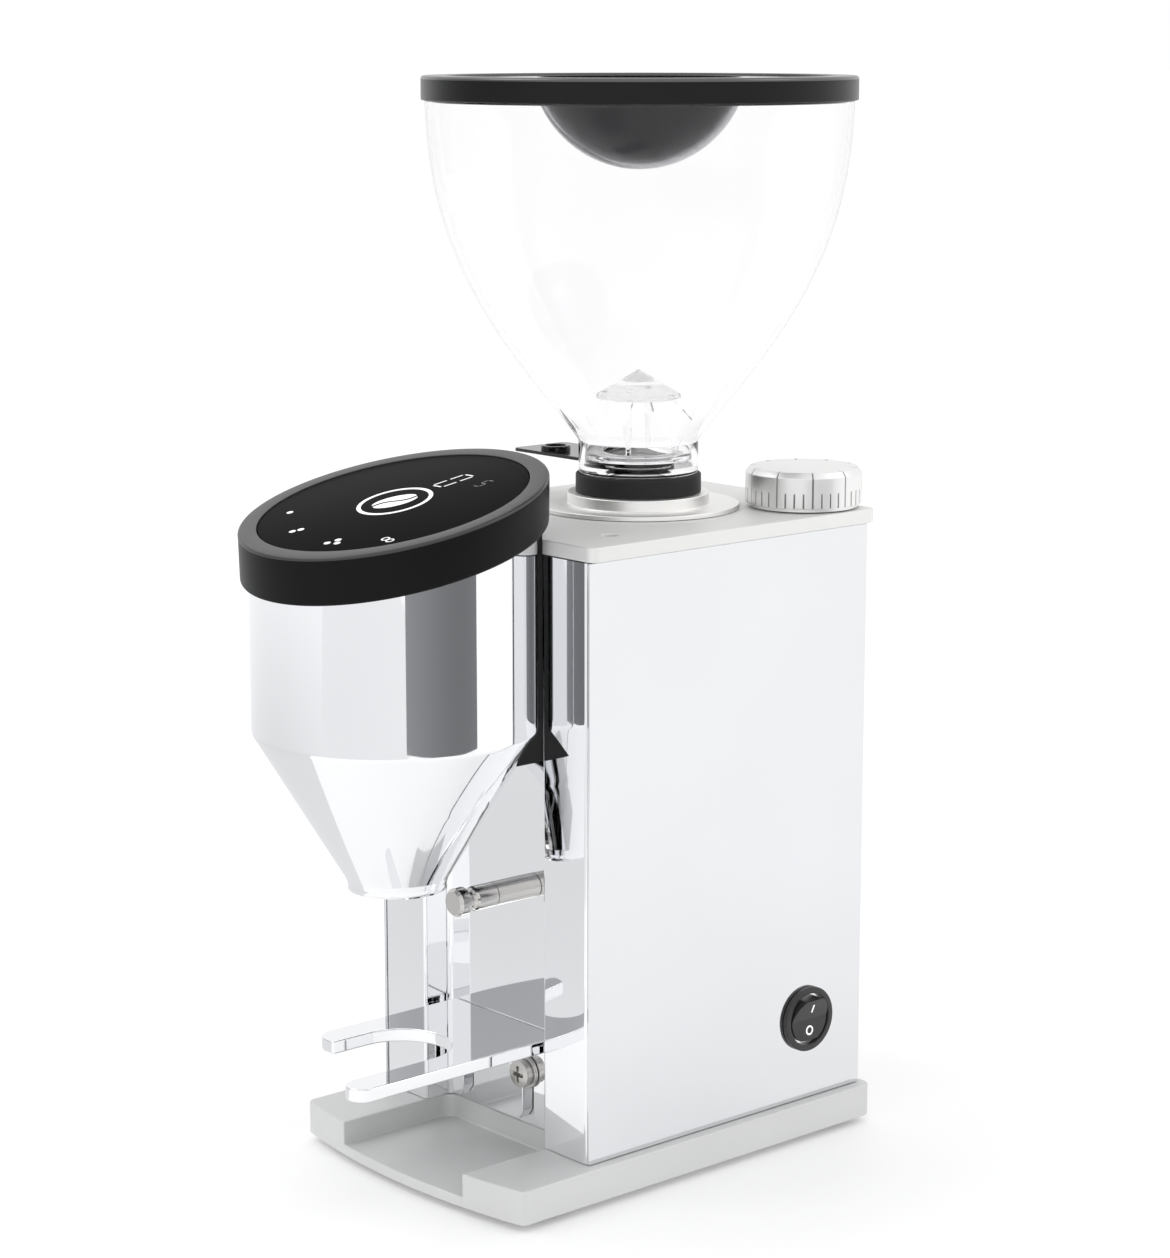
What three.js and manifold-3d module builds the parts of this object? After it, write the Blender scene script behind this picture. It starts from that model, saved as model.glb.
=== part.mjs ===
// Burr coffee grinder with a bean hopper, a touch display, a chrome grounds funnel and a portafilter
// fork. Millimetres, +Z up, front towards -Y. While it is built, y = 0 lies on the hopper axis; the
// finished group is then shifted so that its origin is under the middle of the whole object.
import * as THREE from "three";
import { mergeVertices } from "three/addons/utils/BufferGeometryUtils.js";
import Module from "manifold-3d";

const wasm = await Module();
wasm.setup();

// ---------- driving dimensions ----------
const GAP = 0.3; // clearance between two parts that touch
const SEGMENTS = 40; // facets round a large visible circle
const INNER_SEGMENTS = 24; // facets round a hidden circle
const SMALL_SEGMENTS = 16; // facets round a pin or a small hole

const FOOT_HEIGHT = 3;
const FOOT_RADIUS = 9;
const BASE_THICKNESS = 14;
const BASE_MARGIN = 4.7; // how far the base stands out past each side of the body
const BASE_FRONT = 38.2; // how far the base corners stand ahead of the columns
const BASE_BOW = 6.7; // how far the middle of the front edge stands ahead of its corners
const BASE_REAR = 3.5; // how far the base stands out behind the body
const BASE_CORNER = 4;
const NOTCH_DEPTH = 9.6;
const NOTCH_MARGIN = 0.9; // how much wider than the channel the notch is, on each side
const NOTCH_CORNER = 6;

const BODY_WIDTH = 130.6;
const BODY_HEIGHT = 240.7;
const BODY_FRONT = 84.25; // hopper axis to the front faces of the columns
const BODY_REAR = 68.05; // hopper axis to the rear face
const PANEL_SHEET = 1.0;
const REAR_SHEET = 1.5;
const CHANNEL_SHEET = 1.5;
const COLUMN_WIDTH = 27.7;
const CHANNEL_DEPTH = 13.3;
const CHANNEL_CORNER = 2.6;
const COLUMN_EDGE = 1.6;
const FLANGE_LENGTH = 14;

const TOP_THICKNESS = 5.9;
const TOP_OVERHANG = 2.0;
const TOP_CORNER = 4;
const TOP_SCREW_X = 47.2;
const TOP_SCREW_Y = -57.3;
const TOP_SCREW_HEAD = 3.0;

const THROAT_DISC_RADIUS = 41.6;
const THROAT_DISC_THICKNESS = 1.7;
const THROAT_COLLAR_RADIUS = 29.2;
const THROAT_COLLAR_HEIGHT = 4.6;
const THROAT_BORE = 20.5;
const SEAT_RING_RADIUS = 25.8;
const SEAT_RING_HEIGHT = 7.6;

const NECK_RADIUS = 24.6;
const NECK_WALL = 2.2;
const NECK_HEIGHT = 15;
const NECK_BORE = NECK_RADIUS - 11.1; // throat that the gate closes
const HOPPER_HEIGHT = 135; // top of the neck to the rim
const HOPPER_RIM_RADIUS = 86.4;
const HOPPER_WALL = 2.4;
const HOPPER_STEPS = 8;

const LID_RADIUS = 87.8;
const LID_HEIGHT = 9.7;
const LID_WINDOW_RADIUS = 78;
const BOWL_SPHERE = 44;
const BOWL_DEPTH = 36.6;
const BOWL_WALL = 2;
const GRIP_THICKNESS = 4;

const GATE_THICKNESS = 1.4;
const GATE_HALF_WIDTH = NECK_BORE + 1;
const GATE_REACH = 63; // hopper axis to the end of the tab
const GATE_RING = { x: -44.5, y: -6.5, outer: 6.2, inner: 4.4, height: 2.2 };

const BAFFLE_ROOF_RADIUS = 17.4;
const BAFFLE_ROOF_HEIGHT = 10.4;
const BAFFLE_LEG_HEIGHT = 24;
const BAFFLE_LEGS = 4;

const KNOB_RADIUS = 24;
const KNOB_HEIGHT = 16;
const KNOB_CHAMFER = 2;
const KNOB_X = 43; // hopper axis to knob axis, across the body
const KNOB_REAR = 15.2; // knob axis to the rear face of the body
const ADJUSTER_RADIUS = 4;
const PINION_TEETH = 12;
const GEAR_WIDTH = 8;
const TOOTH_TIP = 0.8; // height of a tooth above the pitch circle, in modules

const BURR_RADIUS = 37;
const BURR_BORE = 17.5;
const BURR_THICKNESS = 6.2;
const BURR_GAP = 0.6;
const BURR_GROOVES = 12;
const CARRIER_RADIUS = 40.5;
const CHAMBER_RADIUS = 52;
const CHAMBER_FLOOR = 6;
const MOUNT_PLATE = 5.4;

const MOTOR_RADIUS = 50;
const MOTOR_HEIGHT = 66;
const MOTOR_WALL = 2;
const STATOR_LENGTH = 36;
const ROTOR_RADIUS = 26.8;
const SHAFT_RADIUS = 6;
const BEARING_RADIUS = 14;
const BEARING_WIDTH = 8;

const SPOUT_WIDTH = 28;
const SPOUT_HEIGHT = 14;
const SPOUT_WALL = 1.5;

const CHUTE_AXIS = 42.8; // chute axis ahead of the column faces
const CHUTE_RADIUS = 56;
const CHUTE_WALL = 1.6;
const CHUTE_CREASE = 68.7; // crease below the top of the body
const CHUTE_CONE = 60.5;
const CHUTE_EXIT_RADIUS = 19.6;
const CHUTE_LIP = 2.4;
const BACKING_THICKNESS = 2.0;
const CHEEK_DEPTH = 16;
const CHEEK_DROP = 13; // cheeks end this far below the crease

const DISPLAY_RADIUS = 61;
const DISPLAY_LOWER_RADIUS = 60.4;
const DISPLAY_HEIGHT = 18;
const DISPLAY_EDGE = 1.2;
const DISPLAY_TILT = 13.7;
const DISPLAY_RISE = 14.9; // middle of the display above the top plate
const GLASS_RADIUS = 53.2;
const GLASS_THICKNESS = 2;

const FORK_THICKNESS = 5.3;
const FORK_HALF_WIDTH = 33.5;
const FORK_CUP_RADIUS = 20.7;
const FORK_TOP = 42.8; // top of the fork above the base plate
const FORK_LONG_PRONG = 45.4; // tip ahead of the chute axis
const FORK_SHORT_PRONG = 17.5;
const FORK_TIP_RADIUS = Math.min(8, 0.6 * (FORK_HALF_WIDTH - FORK_CUP_RADIUS) + 0.4);
const TAB_CLEARANCE = 3.5; // bottom of the tab above the base plate
const SLOT_X = 19.2;
const SLOT_WIDTH = 6.4;
const FORK_SCREW_HEIGHT = 25.5; // above the base plate
const FORK_SCREW_RADIUS = 2.5;
const FORK_SCREW_HEAD = 5.4;

const PIN_X = 2.5;
const PIN_HEIGHT = 97; // above the base plate
const PIN_HEAD_RADIUS = 5.8;
const PIN_RADIUS = 5.1;
const PIN_GROOVE_RADIUS = 3.6;
const PIN_REACH = 30.4; // head ahead of the channel's back
const PIN_TRAVEL = 4;
const PIN_TAIL_RADIUS = 3;

const SWITCH_RADIUS = 13.7;
const SWITCH_OPENING = 11.3;
const ROCKER_RADIUS = 10;
const ROCKER_HALF_HEIGHT = 9;
const ROCKER_ANGLE = 20;
const SWITCH_Y = 36.25;
const SWITCH_HEIGHT = 35; // above the base plate
const SWITCH_DEPTH = 22;

// ---------- levels and places worked out from them ----------
const baseTopZ = FOOT_HEIGHT + BASE_THICKNESS;
const bodyTopZ = baseTopZ + BODY_HEIGHT;
const topZ = bodyTopZ + TOP_THICKNESS;
const halfBody = BODY_WIDTH / 2;
const columnY = -BODY_FRONT;
const channelY = columnY + CHANNEL_DEPTH;
const channelHalf = halfBody - COLUMN_WIDTH;
const innerHalf = halfBody - PANEL_SHEET - GAP; // channel and rear panel between the side panels
const baseHalf = halfBody + BASE_MARGIN;
const baseFrontY = columnY - BASE_FRONT;
const rearY = BODY_REAR;
const throatTopZ = topZ + GAP + THROAT_DISC_THICKNESS + THROAT_COLLAR_HEIGHT;
const seatTopZ = throatTopZ + GAP + SEAT_RING_HEIGHT;
const neckBottomZ = seatTopZ + GAP;
const neckTopZ = neckBottomZ + NECK_HEIGHT;
const rimZ = neckTopZ + HOPPER_HEIGHT;
const gateFloorZ = neckBottomZ + 3;
const gateBottomZ = gateFloorZ + GAP;
const gateTopZ = gateBottomZ + GATE_THICKNESS;
const knobY = rearY - KNOB_REAR;
const chuteY = columnY - CHUTE_AXIS;
const chuteCutY = columnY - GAP - BACKING_THICKNESS - GAP;
const creaseZ = bodyTopZ - CHUTE_CREASE;
const chuteExitZ = creaseZ - CHUTE_CONE;
const displayTilt = THREE.MathUtils.degToRad(DISPLAY_TILT);
const displayZ = topZ + DISPLAY_RISE;
const gearTopZ = bodyTopZ - 5.7;
const gearBottomZ = gearTopZ - GEAR_WIDTH;
const chamberTopZ = gearBottomZ - GAP;
const upperBurrTopZ = chamberTopZ - 12.8;
const upperBurrBottomZ = upperBurrTopZ - BURR_THICKNESS;
const lowerBurrTopZ = upperBurrBottomZ - BURR_GAP;
const lowerBurrBottomZ = lowerBurrTopZ - BURR_THICKNESS;
const sweeperTopZ = lowerBurrBottomZ - GAP;
const sweeperBottomZ = sweeperTopZ - 6;
const chamberFloorZ = sweeperBottomZ - GAP;
const chamberBottomZ = chamberFloorZ - CHAMBER_FLOOR;
const mountTopZ = chamberBottomZ - GAP;
const mountBottomZ = mountTopZ - MOUNT_PLATE;
const motorTopZ = mountBottomZ - GAP;
const motorCoverZ = motorTopZ - 4;
const motorBottomZ = motorCoverZ - GAP - MOTOR_HEIGHT;
const spoutZ = (sweeperBottomZ + lowerBurrTopZ) / 2 + 1;
const forkTopZ = baseTopZ + FORK_TOP;
const forkBottomZ = forkTopZ - FORK_THICKNESS;
const tabRearY = channelY - GAP;
const tabFrontY = tabRearY - FORK_THICKNESS;
const forkScrewZ = baseTopZ + FORK_SCREW_HEIGHT;
const pinZ = baseTopZ + PIN_HEIGHT;
const pinHeadY = channelY - PIN_REACH;
const switchZ = baseTopZ + SWITCH_HEIGHT;

// ---------- materials ----------
function finish(color, roughness, metalness, opacity = 1) {
  return { color, roughness, metalness, opacity };
}

const CHROME = finish(0xe8e9eb, 0.06, 1);
const POLISHED_STEEL = finish(0xe4e5e8, 0.12, 1);
const PAINTED_ALUMINIUM = finish(0xd0d1d0, 0.5, 0.3);
const TURNED_ALUMINIUM = finish(0xd8d7d4, 0.28, 1);
const STEEL = finish(0xb4b2ad, 0.3, 1);
const DARK_STEEL = finish(0x5c5b58, 0.45, 1);
const SATIN_BLACK = finish(0x1c1c1d, 0.45, 0);
const GLOSS_BLACK = finish(0x0b0b0c, 0.08, 0);
const RUBBER = finish(0x151515, 0.85, 0);
const CLEAR_PLASTIC = finish(0xf4f6f7, 0.05, 0, 0.25);
const SMOKED_PLASTIC = finish(0x5b5d60, 0.08, 0, 0.6);
const COPPER = finish(0xa8622e, 0.4, 1);
const BOARD_GREEN = finish(0x1d5a34, 0.6, 0);

// ---------- geometry helpers ----------
// Volume of a triangle mesh, negative if its faces point inwards.
function signedVolume(geometry) {
  const p = geometry.getAttribute("position");
  const index = geometry.index;
  const a = new THREE.Vector3();
  const b = new THREE.Vector3();
  const c = new THREE.Vector3();
  let volume = 0;
  for (let i = 0; i < index.count; i += 3) {
    a.fromBufferAttribute(p, index.getX(i));
    b.fromBufferAttribute(p, index.getX(i + 1));
    c.fromBufferAttribute(p, index.getX(i + 2));
    volume += a.dot(b.cross(c)) / 6;
  }
  return volume;
}

// A closed geometry as a manifold solid, with its faces turned outwards.
function solid(geometry) {
  const bare = geometry.clone();
  bare.deleteAttribute("normal");
  bare.deleteAttribute("uv");
  const merged = mergeVertices(bare, 1e-4);
  const triVerts = new Uint32Array(merged.index.array);
  if (signedVolume(merged) < 0) triVerts.reverse();
  const vertProperties = new Float32Array(merged.getAttribute("position").array);
  return new wasm.Manifold(new wasm.Mesh({ numProp: 3, vertProperties, triVerts }));
}

// A manifold solid back as a BufferGeometry.
function geometryOf(body) {
  const mesh = body.getMesh();
  const geometry = new THREE.BufferGeometry();
  geometry.setAttribute("position", new THREE.BufferAttribute(mesh.vertProperties, 3));
  geometry.setIndex(new THREE.BufferAttribute(mesh.triVerts, 1));
  geometry.computeVertexNormals();
  return geometry;
}

function join(...bodies) {
  return bodies.reduce((sum, body) => sum.add(body));
}

function cut(body, ...tools) {
  return tools.reduce((rest, tool) => rest.subtract(tool), body);
}

// Flat outline in plan, drawn up from z0 to z1.
function upright(shape, z0, z1, curveSegments = 12) {
  const geometry = new THREE.ExtrudeGeometry(shape, { depth: z1 - z0, bevelEnabled: false, curveSegments });
  return solid(geometry.translate(0, 0, z0));
}

// Outline in (x, z), drawn along Y from y0 to y1.
function alongY(shape, y0, y1, curveSegments = 12) {
  const geometry = new THREE.ExtrudeGeometry(shape, { depth: y1 - y0, bevelEnabled: false, curveSegments });
  return solid(geometry.rotateX(Math.PI / 2).translate(0, y1, 0));
}

// Outline in (y, z), drawn along X from x0 to x1.
function alongX(shape, x0, x1, curveSegments = 12) {
  const geometry = new THREE.ExtrudeGeometry(shape, { depth: x1 - x0, bevelEnabled: false, curveSegments });
  return solid(geometry.rotateX(Math.PI / 2).rotateZ(Math.PI / 2).translate(x0, 0, 0));
}

function box(x0, x1, y0, y1, z0, z1) {
  const geometry = new THREE.BoxGeometry(x1 - x0, y1 - y0, z1 - z0);
  return solid(geometry.translate((x0 + x1) / 2, (y0 + y1) / 2, (z0 + z1) / 2));
}

function latheGeometry(profile, segments) {
  const points = profile.map(([r, z]) => new THREE.Vector2(r, z));
  return new THREE.LatheGeometry(points, segments).rotateX(Math.PI / 2);
}

// Profile of [radius, z] pairs turned round a vertical axis at (x, y).
function turned(profile, x = 0, y = 0, segments = INNER_SEGMENTS) {
  return solid(latheGeometry(profile, segments).translate(x, y, 0));
}

// Profile of [radius, y] pairs turned round an axis along Y at (x, z).
function turnedAlongY(profile, x, z, segments = SMALL_SEGMENTS) {
  return solid(latheGeometry(profile, segments).rotateX(-Math.PI / 2).translate(x, 0, z));
}

// Profile of [radius, x] pairs turned round an axis along X at (y, z).
function turnedAlongX(profile, y, z, segments = INNER_SEGMENTS) {
  return solid(latheGeometry(profile, segments).rotateY(Math.PI / 2).translate(0, y, z));
}

// Closed profiles of a plain rod and of a plain tube.
function rod(radius, low, high) {
  return [[0, low], [radius, low], [radius, high], [0, high]];
}

function tube(inner, outer, low, high) {
  return [[inner, low], [outer, low], [outer, high], [inner, high], [inner, low]];
}

function rectangle(x0, x1, y0, y1, corner = 0) {
  return roundedShape([[x0, y0], [x1, y0], [x1, y1], [x0, y1]].map(([x, y]) => [x, y, corner]));
}

// Closed outline through [x, y, corner radius] points, each corner an arc.
function roundedShape(points, steps = 3) {
  const outline = [];
  points.forEach(([x, y, radius = 0], i) => {
    const here = new THREE.Vector2(x, y);
    const [px, py] = points[(i + points.length - 1) % points.length];
    const [nx, ny] = points[(i + 1) % points.length];
    const back = new THREE.Vector2(px, py).sub(here).normalize();
    const ahead = new THREE.Vector2(nx, ny).sub(here).normalize();
    const half = Math.acos(THREE.MathUtils.clamp(back.dot(ahead), -1, 1)) / 2;
    if (radius <= 0 || half > Math.PI / 2 - 1e-3) {
      outline.push(here);
      return;
    }
    const reach = radius / Math.tan(half);
    const from = here.clone().addScaledVector(back, reach);
    const centre = here.clone().addScaledVector(back.clone().add(ahead).normalize(), radius / Math.sin(half));
    const start = from.clone().sub(centre);
    const side = Math.sign(back.clone().negate().cross(ahead));
    for (let k = 0; k <= steps; k++) {
      const angle = (side * (Math.PI - 2 * half) * k) / steps;
      outline.push(start.clone().rotateAround(new THREE.Vector2(), angle).add(centre));
    }
  });
  return new THREE.Shape(outline);
}

// Outline of a spur gear with straight-sided teeth, thinned for running clearance.
function gearShape(teeth, module, bore) {
  const pitch = (module * teeth) / 2;
  const tip = pitch + TOOTH_TIP * module;
  const root = pitch - module;
  const step = (2 * Math.PI) / teeth;
  const widths = [0.2, 0.11, -0.11, -0.2];
  const radii = [root, tip, tip, root];
  const outline = [];
  for (let i = 0; i < teeth; i++) {
    widths.forEach((width, k) => {
      const angle = step * (i - width);
      outline.push(new THREE.Vector2(radii[k] * Math.cos(angle), radii[k] * Math.sin(angle)));
    });
  }
  const shape = new THREE.Shape(outline);
  const hole = new THREE.Path();
  hole.absarc(0, 0, bore, 0, 2 * Math.PI, true);
  shape.holes.push(hole);
  return shape;
}

// ---------- scene graph ----------
const grinder = new THREE.Group();

function add(name, body, look, parent = grinder) {
  const { color, roughness, metalness, opacity } = look;
  const material = new THREE.MeshStandardMaterial({ color, roughness, metalness, opacity });
  material.transparent = opacity < 1;
  const mesh = new THREE.Mesh(geometryOf(body), material);
  mesh.name = name;
  parent.add(mesh);
  return mesh;
}

// ---------- base ----------
// Front edge bows forward between the two corners, as one circular arc.
function baseOutline() {
  const chord = baseHalf - BASE_CORNER;
  const radius = (chord * chord + BASE_BOW * BASE_BOW) / (2 * BASE_BOW);
  const steps = 12;
  const points = [];
  for (let i = 0; i <= steps; i++) {
    const x = -chord + (2 * chord * i) / steps;
    const y = baseFrontY - (Math.sqrt(radius * radius - x * x) - (radius - BASE_BOW));
    points.push([x, y, 0]);
  }
  points.push([baseHalf, baseFrontY + BASE_CORNER * 0.3, BASE_CORNER * 0.7]);
  points.push([baseHalf, rearY + BASE_REAR, BASE_CORNER]);
  points.push([-baseHalf, rearY + BASE_REAR, BASE_CORNER]);
  points.push([-baseHalf, baseFrontY + BASE_CORNER * 0.3, BASE_CORNER * 0.7]);
  return roundedShape(points);
}

function makeBase() {
  const notchHalf = channelHalf + NOTCH_MARGIN;
  const notchFrontY = baseFrontY - 2 * BASE_BOW;
  const notch = roundedShape([
    [-notchHalf, notchFrontY, 0],
    [notchHalf, notchFrontY, 0],
    [notchHalf, channelY, NOTCH_CORNER],
    [-notchHalf, channelY, NOTCH_CORNER],
  ], 6);
  const plate = upright(baseOutline(), FOOT_HEIGHT, baseTopZ);
  add("base_plate", cut(plate, upright(notch, baseTopZ - NOTCH_DEPTH, baseTopZ + 1)), PAINTED_ALUMINIUM);
  const footX = baseHalf - 16;
  const frontFootY = baseFrontY + 20;
  const rearFootY = rearY - 14;
  const places = [[-footX, frontFootY], [footX, frontFootY], [-footX, rearFootY], [footX, rearFootY]];
  const profile = [[0, 0], [FOOT_RADIUS - 1, 0], [FOOT_RADIUS, 1], [FOOT_RADIUS, FOOT_HEIGHT - GAP]];
  profile.push([0, FOOT_HEIGHT - GAP]);
  places.forEach(([x, y], i) => add(`foot_${i + 1}`, turned(profile, x, y, SMALL_SEGMENTS), RUBBER));
}

// ---------- casing ----------
// One folded sheet: two columns, the channel between them and a flange inside each side panel.
function channelOutline() {
  const t = CHANNEL_SHEET;
  const back = columnY + FLANGE_LENGTH;
  const seen = [
    [innerHalf, back, 0],
    [innerHalf, columnY, COLUMN_EDGE],
    [channelHalf, columnY, COLUMN_EDGE],
    [channelHalf, channelY, CHANNEL_CORNER],
  ];
  const hidden = [
    [channelHalf + t, channelY + t, CHANNEL_CORNER + t],
    [channelHalf + t, columnY + t, 0],
    [innerHalf - t, columnY + t, 0],
    [innerHalf - t, back, 0],
  ];
  const mirrored = (list) => list.map(([x, y, r]) => [-x, y, r]).reverse();
  return roundedShape([...seen, ...mirrored(seen), ...mirrored(hidden), ...hidden]);
}

function spoutHole(margin) {
  const half = SPOUT_WIDTH / 2 + margin;
  const high = SPOUT_HEIGHT / 2 + margin;
  return rectangle(-half, half, spoutZ - high, spoutZ + high);
}

function makeCasing() {
  const lowZ = baseTopZ + GAP;
  const highZ = bodyTopZ - GAP;
  const pinHole = turnedAlongY(rod(PIN_RADIUS + 2, channelY - 1, channelY + 5), PIN_X, pinZ);
  const screwHoles = [-1, 1].map((side) =>
    turnedAlongY(rod(FORK_SCREW_RADIUS + GAP, channelY - 1, channelY + 5), side * SLOT_X, forkScrewZ),
  );
  const spoutWay = alongY(spoutHole(GAP), channelY - 1, channelY + 5);
  add("front_channel", cut(upright(channelOutline(), lowZ, highZ), pinHole, ...screwHoles, spoutWay), CHROME);

  const switchHole = turnedAlongX(rod(SWITCH_RADIUS - 1.1, 0, 2 * halfBody), SWITCH_Y, switchZ);
  const leftPanel = box(-halfBody, -halfBody + PANEL_SHEET, columnY, rearY, lowZ, highZ);
  const rightPanel = box(halfBody - PANEL_SHEET, halfBody, columnY, rearY, lowZ, highZ);
  add("side_panel_left", leftPanel, POLISHED_STEEL);
  add("side_panel_right", cut(rightPanel, switchHole), POLISHED_STEEL);
  makeRearPanel(lowZ, highZ);
  makeTopPlate();
}

const REAR_SCREW_SIDE = 9; // from the edge of the panel
const REAR_SCREW_END = 19; // from the bottom and the top of the body
const VENT = { rows: 7, halfLength: 34, height: 3, pitch: 9, top: 46 };
const INLET = { x: -30, z: 30, flangeWidth: 31, flangeHeight: 24, bodyWidth: 27.4, bodyHeight: 20 };

function rearScrewPlaces() {
  const x = innerHalf - REAR_SCREW_SIDE;
  const low = baseTopZ + REAR_SCREW_END;
  const high = bodyTopZ - REAR_SCREW_END;
  return [[-x, low], [x, low], [-x, high], [x, high]];
}

function inletOutline(width, height, corner) {
  const zc = baseTopZ + INLET.z;
  return rectangle(INLET.x - width / 2, INLET.x + width / 2, zc - height / 2, zc + height / 2, corner);
}

function makeRearPanel(lowZ, highZ) {
  const frontY = rearY - REAR_SHEET;
  const tools = rearScrewPlaces().map(([x, z]) => turnedAlongY(rod(2.2, frontY - 1, rearY + 1), x, z));
  for (let i = 0; i < VENT.rows; i++) {
    const z = bodyTopZ - VENT.top - i * VENT.pitch;
    const half = VENT.height / 2;
    const slot = rectangle(-VENT.halfLength, VENT.halfLength, z - half, z + half, half - 0.05);
    tools.push(alongY(slot, frontY - 1, rearY + 1));
  }
  const inletWay = inletOutline(INLET.bodyWidth + 2 * GAP, INLET.bodyHeight + 2 * GAP, 2);
  tools.push(alongY(inletWay, frontY - 1, rearY + 1));
  add("rear_panel", cut(box(-innerHalf, innerHalf, frontY, rearY, lowZ, highZ), ...tools), POLISHED_STEEL);
  rearScrewPlaces().forEach(([x, z], i) => {
    const seat = rearY + GAP;
    const profile = [[0, frontY - 6], [1.9, frontY - 6], [1.9, seat], [3.8, seat], [3.8, seat + 1.3]];
    profile.push([2.6, seat + 2.3], [0, seat + 2.3]);
    add(`rear_screw_${i + 1}`, turnedAlongY(profile, x, z, 16), STEEL);
  });
}

function makeTopPlate() {
  const half = halfBody + TOP_OVERHANG;
  const outline = rectangle(-half, half, columnY, rearY + BASE_REAR, TOP_CORNER);
  const throat = turned(rod(NECK_RADIUS + GAP, bodyTopZ - 1, topZ + 1), 0, 0, SEGMENTS);
  const shaftHole = turned(rod(ADJUSTER_RADIUS + 0.5, bodyTopZ - 1, topZ + 1), KNOB_X, knobY, SMALL_SEGMENTS);
  const places = [-TOP_SCREW_X, TOP_SCREW_X];
  const seatZ = topZ - 3.4;
  const holes = places.map((x) => {
    const profile = [[0, bodyTopZ - 1], [2.2, bodyTopZ - 1], [2.2, seatZ], [TOP_SCREW_HEAD + GAP, seatZ]];
    profile.push([TOP_SCREW_HEAD + GAP, topZ + 1], [0, topZ + 1]);
    return turned(profile, x, TOP_SCREW_Y, 16);
  });
  add("top_plate", cut(upright(outline, bodyTopZ, topZ), throat, shaftHole, ...holes), PAINTED_ALUMINIUM);
  places.forEach((x, i) => {
    const low = seatZ + GAP;
    const profile = [[0, bodyTopZ - 5], [1.8, bodyTopZ - 5], [1.8, low], [TOP_SCREW_HEAD, low]];
    profile.push([TOP_SCREW_HEAD, low + 2], [0, low + 2]);
    const socket = turned(rod(1.4, low + 0.8, low + 3), x, TOP_SCREW_Y, 6);
    add(`top_screw_${i + 1}`, cut(turned(profile, x, TOP_SCREW_Y, 16), socket), STEEL);
  });
}

// ---------- throat, hopper and lid ----------
function makeThroat() {
  const discZ = topZ + GAP;
  const collarZ = discZ + THROAT_DISC_THICKNESS;
  add("throat_collar", turned([
    [THROAT_BORE, bodyTopZ - 4],
    [NECK_RADIUS, bodyTopZ - 4],
    [NECK_RADIUS, discZ],
    [THROAT_DISC_RADIUS, discZ],
    [THROAT_DISC_RADIUS, collarZ],
    [THROAT_COLLAR_RADIUS, collarZ],
    [THROAT_COLLAR_RADIUS, throatTopZ - 0.6],
    [THROAT_COLLAR_RADIUS - 0.6, throatTopZ],
    [THROAT_BORE, throatTopZ],
    [THROAT_BORE, bodyTopZ - 4],
  ], 0, 0, SEGMENTS), TURNED_ALUMINIUM);
  const low = throatTopZ + GAP;
  const bore = NECK_RADIUS - 2 + GAP;
  add("seat_ring", turned([
    [bore, low],
    [SEAT_RING_RADIUS, low],
    [SEAT_RING_RADIUS, seatTopZ - 0.8],
    [SEAT_RING_RADIUS - 0.8, seatTopZ],
    [bore, seatTopZ],
    [bore, low],
  ], 0, 0, SEGMENTS), SATIN_BLACK);
}

// Outer wall of the hopper as a cubic curve: it leaves the neck at a slope and ends nearly upright.
function hopperCurve() {
  const start = new THREE.Vector2(NECK_RADIUS + 1.2, neckTopZ);
  const end = new THREE.Vector2(HOPPER_RIM_RADIUS, rimZ);
  const bellyLow = new THREE.Vector2(start.x + 34, start.y + 42);
  const bellyHigh = new THREE.Vector2(end.x - 1.2, end.y - 62);
  return new THREE.CubicBezierCurve(start, bellyLow, bellyHigh, end);
}

function hopperWall() {
  const curve = hopperCurve();
  const outer = [];
  const inner = [];
  for (let i = 0; i <= HOPPER_STEPS; i++) {
    const t = i / HOPPER_STEPS;
    const point = curve.getPoint(t);
    const along = curve.getTangent(t);
    outer.push([point.x, point.y]);
    inner.push([point.x - HOPPER_WALL * along.y, point.y + HOPPER_WALL * along.x]);
  }
  inner[HOPPER_STEPS] = [HOPPER_RIM_RADIUS - HOPPER_WALL, rimZ];
  return { outer, inner: inner.reverse() };
}

function makeHopper() {
  const { outer, inner } = hopperWall();
  const innerNeck = NECK_RADIUS - NECK_WALL;
  const spigot = NECK_RADIUS - 2;
  const spigotZ = throatTopZ + 2 * GAP;
  const floorZ = gateFloorZ - 2.3;
  const profile = [
    [NECK_BORE, floorZ],
    [spigot - 2, floorZ],
    [spigot - 2, spigotZ],
    [spigot, spigotZ],
    [spigot, neckBottomZ],
    [NECK_RADIUS, neckBottomZ],
    [NECK_RADIUS, neckTopZ - 2],
    ...outer,
    ...inner,
    [innerNeck, neckTopZ - 2],
    [innerNeck, gateFloorZ],
    [NECK_BORE, gateFloorZ],
    [NECK_BORE, floorZ],
  ];
  const slotHalf = GATE_HALF_WIDTH + GAP;
  const slot = box(-NECK_RADIUS - 5, -NECK_BORE + 1, -slotHalf, slotHalf, gateFloorZ, gateTopZ + GAP);
  add("hopper", cut(turned(profile, 0, 0, SEGMENTS), slot), CLEAR_PLASTIC);
}

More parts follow.
